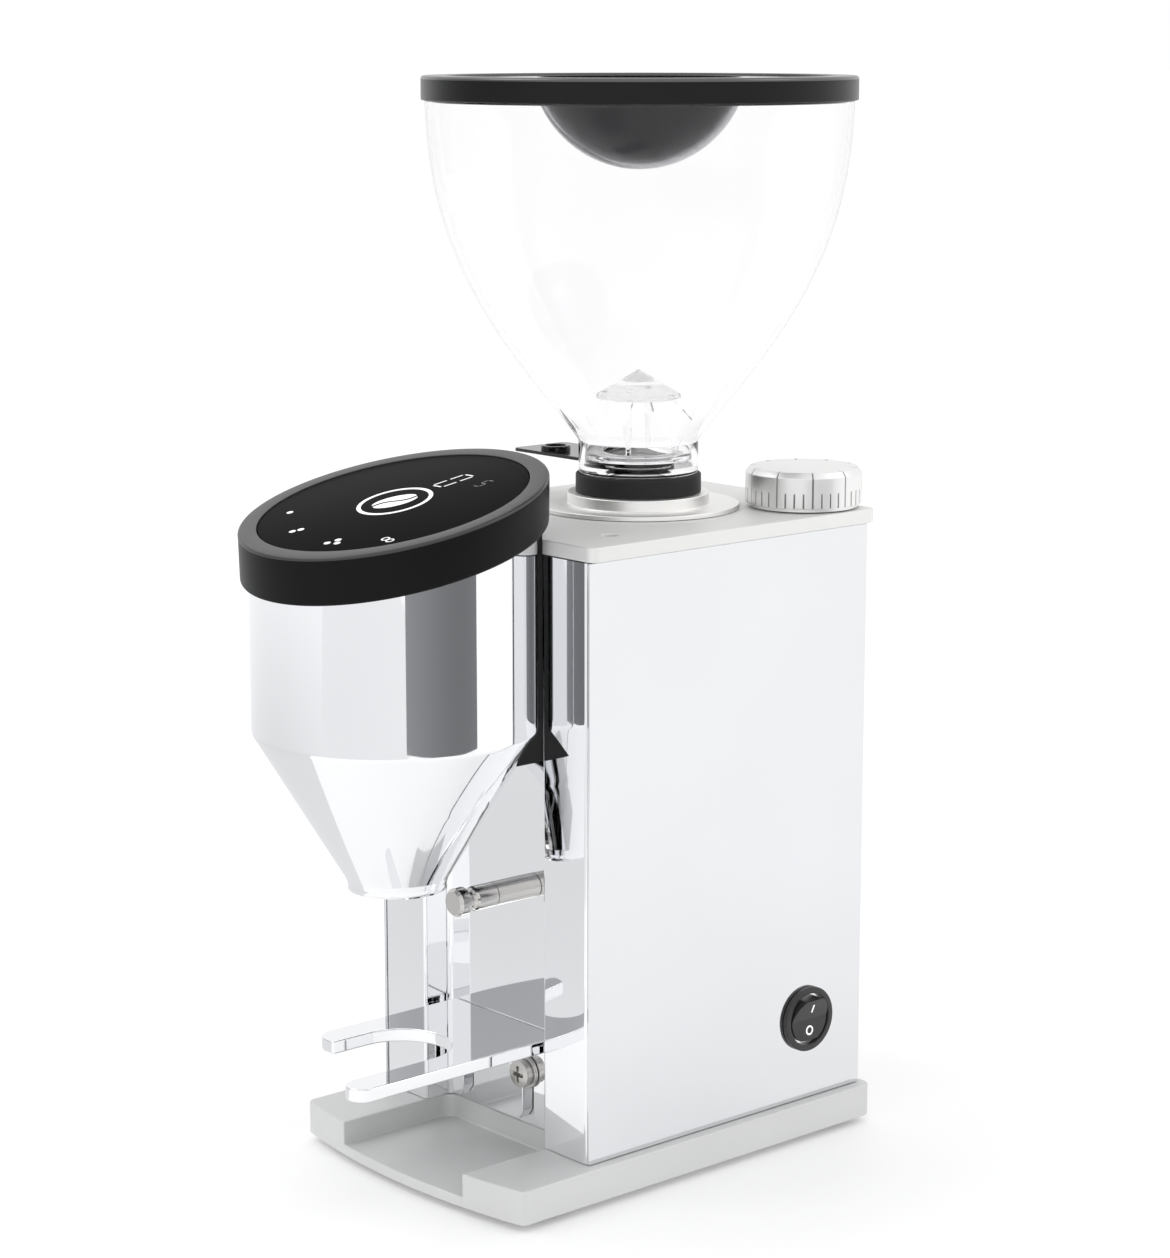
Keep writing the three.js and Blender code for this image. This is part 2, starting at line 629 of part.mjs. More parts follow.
// A pointed roof on splayed legs keeps the weight of the beans off the throat.
function makeBaffle() {
  const ringLow = gateTopZ + 3 * GAP;
  const ringHigh = ringLow + 2.4;
  const eavesZ = ringHigh + BAFFLE_LEG_HEIGHT;
  const ring = turned(tube(NECK_BORE + 1, NECK_RADIUS - NECK_WALL - GAP, ringLow, ringHigh));
  const roof = turned([
    [0, eavesZ],
    [BAFFLE_ROOF_RADIUS - 2, eavesZ - 1.2],
    [BAFFLE_ROOF_RADIUS, eavesZ - 1.2],
    [BAFFLE_ROOF_RADIUS, eavesZ],
    [0, eavesZ + BAFFLE_ROOF_HEIGHT],
  ]);
  const topR = BAFFLE_ROOF_RADIUS - 5;
  const footR = NECK_BORE + 3.5;
  const legs = [];
  for (let i = 0; i < BAFFLE_LEGS; i++) {
    const side = roundedShape([
      [footR - 1.5, ringLow + 0.5],
      [footR + 1.5, ringLow + 0.5],
      [topR + 1.5, eavesZ - 0.2],
      [topR - 1.5, eavesZ - 0.2],
    ]);
    const geometry = new THREE.ExtrudeGeometry(side, { depth: 4, bevelEnabled: false });
    geometry.translate(0, 0, -2).rotateX(Math.PI / 2).rotateZ(Math.PI * ((2 * i + 1) / BAFFLE_LEGS));
    legs.push(solid(geometry));
  }
  add("hopper_baffle", join(ring, roof, ...legs), CLEAR_PLASTIC);
}

function makeGate() {
  const half = GATE_HALF_WIDTH;
  const shape = new THREE.Shape();
  shape.moveTo(0.5, -half);
  shape.absarc(0.5, 0, half, -Math.PI / 2, Math.PI / 2, false);
  shape.lineTo(-GATE_REACH + 2, half);
  shape.absarc(-GATE_REACH + 2, half - 2, 2, Math.PI / 2, Math.PI, false);
  shape.absarc(-GATE_REACH + 2, -half + 2, 2, Math.PI, 1.5 * Math.PI, false);
  const { x, y, outer, inner, height } = GATE_RING;
  const ring = turned(rod(outer, gateBottomZ, gateTopZ + height), x, y, SMALL_SEGMENTS);
  const hole = turned(rod(inner, gateBottomZ - 1, gateTopZ + height + 1), x, y, SMALL_SEGMENTS);
  add("slide_gate", cut(join(upright(shape, gateBottomZ, gateTopZ), ring), hole), SATIN_BLACK);
}

function makeLid() {
  const low = rimZ + GAP;
  const high = low + LID_HEIGHT;
  const lip = HOPPER_RIM_RADIUS - HOPPER_WALL - 1.2;
  const ledgeZ = high - 3;
  add("lid_ring", turned([
    [LID_WINDOW_RADIUS - 3, ledgeZ - 2],
    [lip - 2, ledgeZ - 2],
    [lip - 2, low - 4],
    [lip, low - 4],
    [lip, low],
    [LID_RADIUS, low],
    [LID_RADIUS, high - 1],
    [LID_RADIUS - 1, high],
    [LID_WINDOW_RADIUS, high],
    [LID_WINDOW_RADIUS, ledgeZ],
    [LID_WINDOW_RADIUS - 3, ledgeZ],
    [LID_WINDOW_RADIUS - 3, ledgeZ - 2],
  ], 0, 0, SEGMENTS), SATIN_BLACK);

  const windowLow = ledgeZ + GAP;
  const windowHigh = windowLow + BOWL_WALL;
  const centreZ = windowHigh - BOWL_DEPTH + BOWL_SPHERE;
  const steps = 6;
  const dish = (radius, topLevel) => {
    const start = Math.acos((centreZ - topLevel) / radius);
    const points = [];
    for (let i = 0; i <= steps; i++) {
      const angle = start * (1 - i / steps);
      points.push([radius * Math.sin(angle), centreZ - radius * Math.cos(angle)]);
    }
    points[steps][0] = 0;
    return points;
  };
  const rim = LID_WINDOW_RADIUS - GAP;
  const outside = dish(BOWL_SPHERE, windowLow);
  const inside = dish(BOWL_SPHERE - BOWL_WALL, windowHigh).reverse();
  const section = [...outside.reverse(), [rim, windowLow], [rim, windowHigh], ...inside.reverse()];
  const bowl = turned(section, 0, 0, SEGMENTS);
  const inner = [...dish(BOWL_SPHERE - BOWL_WALL / 2, windowHigh).reverse(), [0, windowHigh]];
  add("lid_bowl", join(bowl, gripBar(windowHigh).intersect(turned(inner))), SMOKED_PLASTIC);
}

// The grip is a wall across the bowl, bent in a slow S.
function gripBar(topLevel) {
  const path = [];
  const steps = 12;
  for (let i = 0; i <= steps; i++) {
    const s = (i / steps) * 2 - 1;
    path.push([BOWL_SPHERE * s, 7 * Math.sin(Math.PI * s)]);
  }
  const half = GRIP_THICKNESS / 2;
  const outline = [
    ...path.map(([x, y]) => new THREE.Vector2(x, y - half)),
    ...path.reverse().map(([x, y]) => new THREE.Vector2(x, y + half)),
  ];
  return upright(new THREE.Shape(outline), topLevel - BOWL_DEPTH - 2, topLevel - 1);
}

// ---------- grind adjustment ----------
// The largest pinion that still turns clear of the rear panel sets the number of the ring's teeth.
const pinionTip = KNOB_REAR - REAR_SHEET - 2.5 * GAP;
const widestModule = pinionTip / (PINION_TEETH / 2 + TOOTH_TIP);
const gearDistance = Math.hypot(KNOB_X, knobY);
const ringTeeth = Math.ceil((2 * gearDistance) / widestModule) - PINION_TEETH;
const gearModule = (2 * gearDistance) / (PINION_TEETH + ringTeeth);
const knobLowZ = topZ + 2 * GAP; // underside of the knob

function makeAdjuster() {
  const low = knobLowZ;
  const high = low + KNOB_HEIGHT;
  const bore = ADJUSTER_RADIUS + GAP;
  const boreTop = high - 5;
  add("adjuster_knob", turned([
    [bore, low],
    [KNOB_RADIUS - 1.2, low],
    [KNOB_RADIUS - 1.2, low + 1.2],
    [KNOB_RADIUS, low + 1.6],
    [KNOB_RADIUS, high - KNOB_CHAMFER],
    [KNOB_RADIUS - KNOB_CHAMFER - 0.7, high],
    [0, high],
    [0, boreTop],
    [bore, boreTop],
    [bore, low],
  ], KNOB_X, knobY, SEGMENTS), TURNED_ALUMINIUM);
  const shaft = turned(rod(ADJUSTER_RADIUS, gearBottomZ - 12, boreTop - GAP), KNOB_X, knobY, SMALL_SEGMENTS);
  add("adjuster_shaft", shaft, STEEL);
  // The ring has a tooth, and the pinion a gap, on the line between the two axes.
  const line = Math.atan2(knobY, KNOB_X);
  const pinion = new THREE.ExtrudeGeometry(gearShape(PINION_TEETH, gearModule, bore), {
    depth: GEAR_WIDTH,
    bevelEnabled: false,
    curveSegments: 8,
  });
  pinion.rotateZ(line + Math.PI + Math.PI / PINION_TEETH).translate(KNOB_X, knobY, gearBottomZ);
  add("adjuster_pinion", solid(pinion), STEEL);
  const ring = new THREE.ExtrudeGeometry(gearShape(ringTeeth, gearModule, CARRIER_RADIUS + 1), {
    depth: GEAR_WIDTH,
    bevelEnabled: false,
    curveSegments: 16,
  });
  ring.rotateZ(line).translate(0, 0, gearBottomZ);
  add("adjuster_ring", solid(ring), TURNED_ALUMINIUM);
}

// ---------- burrs and grinding chamber ----------
// A ring burr with slanting grooves cut into its working face.
function burr(low, high, faceZ) {
  const grooves = [];
  for (let i = 0; i < BURR_GROOVES; i++) {
    const groove = new THREE.BoxGeometry(BURR_RADIUS, 2.2, 2.4);
    groove.rotateX(Math.PI / 6).translate(BURR_BORE + BURR_RADIUS / 2 - 2, 4, faceZ);
    groove.rotateZ((2 * Math.PI * i) / BURR_GROOVES);
    grooves.push(solid(groove));
  }
  return cut(turned(tube(BURR_BORE, BURR_RADIUS, low, high)), ...grooves);
}

function makeBurrs() {
  const carrierTop = gearTopZ - 1.5;
  add("upper_burr_carrier", turned([
    [BURR_BORE, upperBurrTopZ + GAP],
    [CARRIER_RADIUS, upperBurrTopZ + GAP],
    [CARRIER_RADIUS, carrierTop],
    [NECK_RADIUS + 2, carrierTop],
    [BURR_BORE, upperBurrTopZ + 5],
    [BURR_BORE, upperBurrTopZ + GAP],
  ]), TURNED_ALUMINIUM);
  add("upper_burr", burr(upperBurrBottomZ, upperBurrTopZ, upperBurrBottomZ), DARK_STEEL);
  add("lower_burr", burr(lowerBurrBottomZ, lowerBurrTopZ, lowerBurrTopZ), DARK_STEEL);
  // The lower carrier turns with the shaft; its two arms sweep the grounds round to the spout.
  const disc = turned(tube(SHAFT_RADIUS + GAP, BURR_RADIUS, sweeperBottomZ, sweeperTopZ));
  const reach = CARRIER_RADIUS - 0.5;
  const arms = box(-reach, reach, -3, 3, sweeperBottomZ, sweeperTopZ - 1);
  const shaftWay = turned(rod(SHAFT_RADIUS + GAP, sweeperBottomZ - 1, sweeperTopZ + 1));
  add("lower_burr_carrier", join(disc, cut(arms, shaftWay)), TURNED_ALUMINIUM);
}

function makeChamber() {
  const bore = CARRIER_RADIUS + GAP;
  const cup = turned([
    [SHAFT_RADIUS + 2, chamberBottomZ],
    [CHAMBER_RADIUS, chamberBottomZ],
    [CHAMBER_RADIUS, chamberTopZ],
    [bore, chamberTopZ],
    [bore, chamberFloorZ],
    [SHAFT_RADIUS + 2, chamberFloorZ],
    [SHAFT_RADIUS + 2, chamberBottomZ],
  ]);
  const way = alongY(spoutHole(-SPOUT_WALL), -CHAMBER_RADIUS - 2, -BURR_RADIUS);
  add("grinding_chamber", cut(cup, way), TURNED_ALUMINIUM);
  // The spout is a short square tube through the channel and the backing into the funnel.
  const endY = chuteCutY - 4;
  const outer = alongY(spoutHole(0), endY, -CHAMBER_RADIUS + 14);
  const inner = alongY(spoutHole(-SPOUT_WALL), endY - 1, -CHAMBER_RADIUS + 20);
  const clear = turned(rod(CHAMBER_RADIUS + GAP, chamberBottomZ - 1, chamberTopZ + 1));
  add("grounds_spout", cut(outer, inner, clear), SATIN_BLACK);
}

// ---------- motor ----------
function makeMotor() {
  const boss = BEARING_RADIUS + GAP;
  const lowBearingZ = motorBottomZ + MOTOR_WALL + GAP;
  add("motor_can", turned([
    [0, motorBottomZ],
    [MOTOR_RADIUS, motorBottomZ],
    [MOTOR_RADIUS, motorCoverZ - GAP],
    [MOTOR_RADIUS - MOTOR_WALL, motorCoverZ - GAP],
    [MOTOR_RADIUS - MOTOR_WALL, motorBottomZ + MOTOR_WALL],
    [boss + 3, motorBottomZ + MOTOR_WALL],
    [boss + 3, lowBearingZ + BEARING_WIDTH],
    [boss, lowBearingZ + BEARING_WIDTH],
    [boss, motorBottomZ + MOTOR_WALL],
    [0, motorBottomZ + MOTOR_WALL],
  ]), SATIN_BLACK);
  add("motor_cover", turned([
    [SHAFT_RADIUS + 2, motorCoverZ],
    [boss, motorCoverZ],
    [boss, motorCoverZ - BEARING_WIDTH],
    [boss + 3, motorCoverZ - BEARING_WIDTH],
    [boss + 3, motorCoverZ],
    [MOTOR_RADIUS, motorCoverZ],
    [MOTOR_RADIUS, motorTopZ],
    [SHAFT_RADIUS + 2, motorTopZ],
    [SHAFT_RADIUS + 2, motorCoverZ],
  ]), TURNED_ALUMINIUM);
  const bearing = (low) => turned(tube(SHAFT_RADIUS + GAP, BEARING_RADIUS, low, low + BEARING_WIDTH - GAP));
  add("lower_bearing", bearing(lowBearingZ), STEEL);
  add("upper_bearing", bearing(motorCoverZ - BEARING_WIDTH), STEEL);
  const statorLow = (motorBottomZ + motorCoverZ - STATOR_LENGTH) / 2;
  const statorHigh = statorLow + STATOR_LENGTH;
  const statorRadius = MOTOR_RADIUS - MOTOR_WALL - GAP;
  add("stator", turned(tube(ROTOR_RADIUS + 0.7, statorRadius, statorLow, statorHigh)), COPPER);
  add("rotor", turned(tube(SHAFT_RADIUS + GAP, ROTOR_RADIUS, statorLow - 2, statorHigh + 2)), DARK_STEEL);
  add("drive_shaft", turned(rod(SHAFT_RADIUS, lowBearingZ, lowerBurrTopZ - 1)), STEEL);
  const reach = innerHalf - GAP;
  const plateFrontY = channelY + CHANNEL_SHEET + GAP;
  const plateRearY = rearY - REAR_SHEET - GAP;
  const plate = box(-reach, reach, plateFrontY, plateRearY, mountBottomZ, mountTopZ);
  const hole = turned(rod(SHAFT_RADIUS + 4, mountBottomZ - 1, mountTopZ + 1));
  const flangeHalf = COLUMN_WIDTH + 3;
  const corner = (side) => {
    const edge = side * reach;
    const x0 = Math.min(edge - side * flangeHalf, edge + side);
    const x1 = Math.max(edge - side * flangeHalf, edge + side);
    return box(x0, x1, columnY, columnY + FLANGE_LENGTH + GAP, mountBottomZ - 1, mountTopZ + 1);
  };
  add("mount_plate", cut(plate, hole, corner(-1), corner(1)), STEEL);
}

// ---------- chute and display ----------
function chuteProfile(grow) {
  return [
    [CHUTE_RADIUS + grow, displayZ + 10],
    [CHUTE_RADIUS + grow, creaseZ + 4],
    [CHUTE_RADIUS - 0.9 + grow, creaseZ - 1],
    [CHUTE_EXIT_RADIUS + 1 + grow, chuteExitZ + 2],
    [CHUTE_EXIT_RADIUS + grow, chuteExitZ],
    [CHUTE_EXIT_RADIUS + grow, chuteExitZ - CHUTE_LIP],
  ];
}

// Everything above the underside of the tilted display, less a gap.
function aboveDisplayFoot(gap) {
  const size = 4 * DISPLAY_RADIUS;
  const block = new THREE.BoxGeometry(size, size, size).translate(0, 0, size / 2 - DISPLAY_HEIGHT - gap);
  return solid(block.rotateX(displayTilt).translate(0, chuteY, displayZ));
}

function makeChute() {
  const outside = chuteProfile(0);
  const inside = chuteProfile(-CHUTE_WALL).reverse();
  const shell = turned([...outside, ...inside, outside[0]], 0, chuteY, SEGMENTS);
  const behind = box(-CHUTE_RADIUS - 5, CHUTE_RADIUS + 5, chuteCutY, 0, 0, displayZ + 60);
  add("chute", cut(shell, behind, aboveDisplayFoot(GAP)), CHROME);

  const half = channelHalf + 0.9;
  const plateY = columnY - GAP;
  const low = creaseZ - CHEEK_DROP;
  const filled = [[0, displayZ + 10], ...chuteProfile(GAP), [0, chuteExitZ - CHUTE_LIP]];
  const cheekBlock = box(-half, half, plateY - CHEEK_DEPTH, plateY, low, creaseZ + 10);
  const cheeks = cut(cheekBlock, turned(filled, 0, chuteY, SEGMENTS));
  const plate = box(-half, half, plateY - BACKING_THICKNESS, plateY, low, displayZ + 20);
  const way = alongY(spoutHole(GAP), plateY - 10, plateY + 1);
  add("chute_backing", cut(join(plate, cheeks), way, aboveDisplayFoot(GAP)), SATIN_BLACK);
}

function makeDisplay() {
  const head = new THREE.Group();
  head.position.set(0, chuteY, displayZ);
  head.rotation.x = displayTilt;
  grinder.add(head);
  const ledge = GLASS_RADIUS - 2.5;
  const well = GLASS_RADIUS + GAP;
  const wellZ = -GLASS_THICKNESS - 2 * GAP;
  const wall = 1.6;
  add("display_housing", turned([
    [ledge, wellZ - 2.4],
    [ledge, wellZ],
    [well, wellZ],
    [well, 0],
    [DISPLAY_RADIUS - DISPLAY_EDGE, 0],
    [DISPLAY_RADIUS, -DISPLAY_EDGE],
    [DISPLAY_LOWER_RADIUS, -DISPLAY_HEIGHT],
    [DISPLAY_LOWER_RADIUS - wall, -DISPLAY_HEIGHT],
    [DISPLAY_RADIUS - 2.2 * wall, wellZ - 2.4],
    [ledge, wellZ - 2.4],
  ], 0, 0, SEGMENTS), SATIN_BLACK, head);
  const glass = turned(rod(GLASS_RADIUS, wellZ + GAP, -GAP), 0, 0, SEGMENTS);
  add("display_glass", glass, GLOSS_BLACK, head);
  const board = turned(rod(ledge - 1, wellZ - 6.5, wellZ - 2.4 - GAP), 0, 0, INNER_SEGMENTS);
  add("display_board", board, BOARD_GREEN, head);
}

// ---------- portafilter fork and its screws ----------
function forkOutline() {
  const cupBack = chuteY;
  const longTipY = chuteY - FORK_LONG_PRONG;
  const shortTipY = chuteY - FORK_SHORT_PRONG;
  const tip = (FORK_HALF_WIDTH - FORK_CUP_RADIUS) / 2;
  const shape = new THREE.Shape();
  shape.moveTo(-FORK_HALF_WIDTH, tabRearY);
  shape.lineTo(-FORK_HALF_WIDTH, shortTipY + FORK_TIP_RADIUS);
  const shortX = -FORK_HALF_WIDTH + FORK_TIP_RADIUS;
  shape.absarc(shortX, shortTipY + FORK_TIP_RADIUS, FORK_TIP_RADIUS, Math.PI, 1.5 * Math.PI, false);
  shape.lineTo(-FORK_CUP_RADIUS - 1.5, shortTipY);
  shape.lineTo(-FORK_CUP_RADIUS, shortTipY + 1.5);
  shape.lineTo(-FORK_CUP_RADIUS, cupBack);
  shape.absarc(0, cupBack, FORK_CUP_RADIUS, Math.PI, 0, true);
  shape.lineTo(FORK_CUP_RADIUS, longTipY + tip);
  shape.absarc(FORK_CUP_RADIUS + tip, longTipY + tip, tip, Math.PI, 2 * Math.PI, false);
  shape.lineTo(FORK_HALF_WIDTH, tabRearY);
  return shape;
}

function makeFork() {
  const plate = upright(forkOutline(), forkBottomZ, forkTopZ, 12);
  const tabLow = baseTopZ + TAB_CLEARANCE;
  const half = FORK_HALF_WIDTH;
  const tabShape = roundedShape([
    [-half + 4, tabLow, 0],
    [half - 4, tabLow, 0],
    [half, tabLow + 5, 0],
    [half, forkBottomZ + 1, 0],
    [-half, forkBottomZ + 1, 0],
    [-half, tabLow + 5, 0],
  ]);
  const slotTop = forkScrewZ + SLOT_WIDTH / 2 + 2;
  const slots = [-SLOT_X, SLOT_X].map((x) => {
    const w = SLOT_WIDTH / 2;
    const outline = roundedShape([
      [x - w - 3, tabLow - 1, 0],
      [x + w + 3, tabLow - 1, 0],
      [x + w, tabLow + 4, 0],
      [x + w, slotTop, w - 0.05],
      [x - w, slotTop, w - 0.05],
      [x - w, tabLow + 4, 0],
    ]);
    return alongY(outline, tabFrontY - 1, tabRearY + 1);
  });
  const tab = alongY(tabShape, tabFrontY, tabRearY);
  add("portafilter_fork", cut(join(plate, tab), ...slots), CHROME);

  [-SLOT_X, SLOT_X].forEach((x, i) => {
    const seat = tabFrontY - GAP;
    const profile = [
      [0, seat - 5.5],
      [FORK_SCREW_HEAD - 1.4, seat - 5.5],
      [FORK_SCREW_HEAD, seat - 4.1],
      [FORK_SCREW_HEAD, seat - 1.5],
      [FORK_SCREW_HEAD + 1.3, seat - 1.5],
      [FORK_SCREW_HEAD + 1.3, seat],
      [FORK_SCREW_RADIUS, seat],
      [FORK_SCREW_RADIUS, channelY + 9],
      [0, channelY + 9],
    ];
    const recess = join(
      box(x - 2.6, x + 2.6, seat - 7, seat - 3.4, forkScrewZ - 0.6, forkScrewZ + 0.6),
      box(x - 0.6, x + 0.6, seat - 7, seat - 3.4, forkScrewZ - 2.6, forkScrewZ + 2.6),
    );
    add(`fork_screw_${i + 1}`, cut(turnedAlongY(profile, x, forkScrewZ, SMALL_SEGMENTS), recess), STEEL);
  });
}

// ---------- start pin ----------
const bracketY = channelY + 21; // front face of the plate that the pin's spring pushes on
const shoulderY = bracketY - 13; // where the pin's body steps down to its tail

function makeStartPin() {
  const grooveY = pinHeadY + 6;
  add("start_pin", turnedAlongY([
    [0, pinHeadY],
    [PIN_HEAD_RADIUS - 1.3, pinHeadY],
    [PIN_HEAD_RADIUS, pinHeadY + 1.3],
    [PIN_HEAD_RADIUS, grooveY - 0.8],
    [PIN_GROOVE_RADIUS, grooveY],
    [PIN_GROOVE_RADIUS, grooveY + 2.2],
    [PIN_RADIUS, grooveY + 4],
    [PIN_RADIUS, shoulderY],
    [PIN_TAIL_RADIUS, shoulderY],
    [PIN_TAIL_RADIUS, bracketY + 3.5],
    [0, bracketY + 3.5],
  ], PIN_X, pinZ), STEEL);
  const flangeY = channelY + CHANNEL_SHEET + GAP;
  const bore = PIN_RADIUS + GAP;
  add("pin_bush", turnedAlongY([
    [bore, channelY + GAP],
    [PIN_RADIUS + 1.6, channelY + GAP],
    [PIN_RADIUS + 1.6, flangeY],
    [PIN_RADIUS + 4, flangeY],
    [PIN_RADIUS + 4, flangeY + 2.5],
    [bore, flangeY + 2.5],
    [bore, channelY + GAP],
  ], PIN_X, pinZ), SATIN_BLACK);

  // The spring has its pressed length, so the pin can travel without meeting it.
  const turns = 4;
  const wire = 0.6;
  const coil = PIN_TAIL_RADIUS + GAP + wire;
  const from = shoulderY + PIN_TRAVEL + GAP + wire;
  const length = bracketY - GAP - wire - from;
  const stepsPerTurn = 8;
  const points = [];
  for (let i = 0; i <= turns * stepsPerTurn; i++) {
    const angle = (2 * Math.PI * i) / stepsPerTurn;
    const y = from + (length * i) / (turns * stepsPerTurn);
    points.push(new THREE.Vector3(PIN_X + coil * Math.cos(angle), y, pinZ + coil * Math.sin(angle)));
  }
  const section = new THREE.Shape().absarc(0, 0, wire, 0, 2 * Math.PI, false);
  const spring = new THREE.ExtrudeGeometry(section, {
    steps: turns * stepsPerTurn,
    extrudePath: new THREE.CatmullRomCurve3(points),
    curveSegments: 3,
  });
  add("pin_spring", solid(spring), STEEL);

  const armX = 14;
  const sheet = 1.5;
  const frontY = channelY + CHANNEL_SHEET + GAP;
  const bracket = new THREE.Shape([
    new THREE.Vector2(PIN_X - armX, frontY),
    new THREE.Vector2(PIN_X - armX + sheet, frontY),
    new THREE.Vector2(PIN_X - armX + sheet, bracketY),
    new THREE.Vector2(PIN_X + armX - sheet, bracketY),
    new THREE.Vector2(PIN_X + armX - sheet, frontY),
    new THREE.Vector2(PIN_X + armX, frontY),
    new THREE.Vector2(PIN_X + armX, bracketY + sheet),
    new THREE.Vector2(PIN_X - armX, bracketY + sheet),
  ]);
  const hole = turnedAlongY(rod(PIN_TAIL_RADIUS + GAP, bracketY - 1, bracketY + 3), PIN_X, pinZ);
  add("pin_bracket", cut(upright(bracket, pinZ - 10, pinZ + 10), hole), STEEL);
  const switchY = bracketY + 3.5 + PIN_TRAVEL + GAP;
  add("start_switch", box(PIN_X - 10, PIN_X + 10, switchY, switchY + 8, pinZ - 5, pinZ + 5), SATIN_BLACK);
}

// ---------- power switch ----------
function makePowerSwitch() {
  const faceX = halfBody + 2.3;
  const seatX = halfBody + GAP;
  add("switch_bezel", turnedAlongX([
    [0, faceX - SWITCH_DEPTH],
    [SWITCH_RADIUS - 1.4, faceX - SWITCH_DEPTH],
    [SWITCH_RADIUS - 1.4, seatX],
    [SWITCH_RADIUS, seatX],
    [SWITCH_RADIUS, faceX - 0.8],
    [SWITCH_RADIUS - 0.8, faceX],
    [SWITCH_OPENING, faceX],
    [SWITCH_OPENING, faceX - 8],
    [0, faceX - 8],
  ], SWITCH_Y, switchZ), SATIN_BLACK);
  // Seen from the side, the rocker's two halves meet at the pivot; the lower half is pressed in.
  const pivotX = faceX - 1.8;
  const h = ROCKER_HALF_HEIGHT;
  const rise = h * Math.tan(THREE.MathUtils.degToRad(ROCKER_ANGLE));
  const side = roundedShape([
    [pivotX - 3, switchZ - h, 0],
    [pivotX + 1.5, switchZ - h, 0.6],
    [pivotX + 1.5, switchZ, 0],
    [pivotX + 1.5 + rise, switchZ + h, 0.6],
    [pivotX - 1, switchZ + h, 0],
    [pivotX - 4, switchZ, 0],
  ]);
  const round = turnedAlongX(rod(ROCKER_RADIUS, pivotX - 6, pivotX + 8), SWITCH_Y, switchZ);
  add("switch_rocker", alongY(side, SWITCH_Y - 12, SWITCH_Y + 12).intersect(round), GLOSS_BLACK);
}

// ---------- electrics in the lower body ----------
function makeElectrics() {
  const boardY = rearY - 26;
  const low = baseTopZ + 6;
  const board = box(-10, 40, boardY - 1.6, boardY, low, low + 60);
  const relay = box(-4, 16, boardY - 16, boardY - 1, low + 8, low + 24);
  const transformer = box(-2, 24, boardY - 22, boardY - 1, low + 32, low + 54);
  add("control_board", join(board, relay, transformer), BOARD_GREEN);
  const capacitor = turned([
    [0, baseTopZ + GAP],
    [17, baseTopZ + GAP],
    [17, baseTopZ + 54],
    [15, baseTopZ + 56],
    [0, baseTopZ + 56],
  ], 38, -38, INNER_SEGMENTS);
  add("run_capacitor", capacitor, TURNED_ALUMINIUM);

  const seat = rearY + GAP;
  const zc = baseTopZ + INLET.z;
  const flange = alongY(inletOutline(INLET.flangeWidth, INLET.flangeHeight, 3), seat, seat + 2.5);
  const body = alongY(inletOutline(INLET.bodyWidth, INLET.bodyHeight, 2), rearY - 20, seat + 1);
  const socket = alongY(roundedShape([
    [INLET.x - 12, zc - 8, 0.5],
    [INLET.x + 12, zc - 8, 0.5],
    [INLET.x + 12, zc + 3.5, 0.5],
    [INLET.x + 8, zc + 8, 0.5],
    [INLET.x - 8, zc + 8, 0.5],
    [INLET.x - 12, zc + 3.5, 0.5],
  ]), rearY - 15, seat + 4);
  const blades = [[-7, -2], [0, 2], [7, -2]].map(([x, z]) => {
    const cx = INLET.x + x;
    return box(cx - 1, cx + 1, rearY - 16, rearY - 2, zc + z - 2, zc + z + 2);
  });
  add("mains_inlet", join(cut(join(flange, body), socket), ...blades), SATIN_BLACK);
}

makeBase();
makeCasing();
makeThroat();
makeHopper();
makeBaffle();
makeGate();
makeLid();
makeAdjuster();
makeBurrs();
makeChamber();
makeMotor();
makeChute();
makeDisplay();
makeFork();
makeStartPin();
makePowerSwitch();
makeElectrics();

// The origin goes under the middle of the whole object, on the surface that it stands on.
const displayFrontY = chuteY - DISPLAY_RADIUS * Math.cos(displayTilt) + DISPLAY_EDGE * Math.sin(displayTilt);
grinder.position.y = -(displayFrontY + LID_RADIUS) / 2;

export default grinder;
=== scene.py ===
# %% [markdown]
# # A burr coffee grinder
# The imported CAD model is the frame: it gives every size and every moving body. This lesson puts the visible
# surfaces round it. Each visible piece is worked out as a surface with numpy, in millimetres, with y = 0 on
# the axis of the bean hopper, and is then written in metres into the frame's own place.

import bmesh
import bpy
import numpy as np
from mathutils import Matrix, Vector


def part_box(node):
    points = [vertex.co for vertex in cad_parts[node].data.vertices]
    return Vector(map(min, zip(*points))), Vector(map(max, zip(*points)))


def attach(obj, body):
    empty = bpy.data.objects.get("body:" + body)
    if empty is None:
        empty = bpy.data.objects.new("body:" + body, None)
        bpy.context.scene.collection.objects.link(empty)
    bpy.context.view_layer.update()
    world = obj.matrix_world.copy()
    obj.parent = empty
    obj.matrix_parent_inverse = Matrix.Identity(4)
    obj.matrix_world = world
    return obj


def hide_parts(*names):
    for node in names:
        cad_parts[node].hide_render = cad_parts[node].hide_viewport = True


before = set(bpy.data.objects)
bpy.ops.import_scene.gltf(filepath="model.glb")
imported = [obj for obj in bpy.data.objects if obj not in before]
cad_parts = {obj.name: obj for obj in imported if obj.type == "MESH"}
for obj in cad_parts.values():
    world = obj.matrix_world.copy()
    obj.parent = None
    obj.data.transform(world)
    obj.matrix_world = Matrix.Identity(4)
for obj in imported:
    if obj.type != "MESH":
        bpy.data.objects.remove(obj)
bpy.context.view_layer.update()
MM = 0.001
lid_low, lid_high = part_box("lid_ring")
AXIS_Y = (lid_low.y + lid_high.y) / 2
print("hopper axis at y =", round(AXIS_Y, 4), "m;", len(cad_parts), "CAD nodes")

# %% [markdown]
# ## Helpers for shapes
# Most pieces of a grinder are turned, folded or cut from plate. A turned piece is a profile carried round an
# axis; a plate is an outline carried straight up. Both are grids of points, so they are computed as whole
# arrays. `rounded` draws the profiles: corners joined by arcs, as a turner would break each edge.

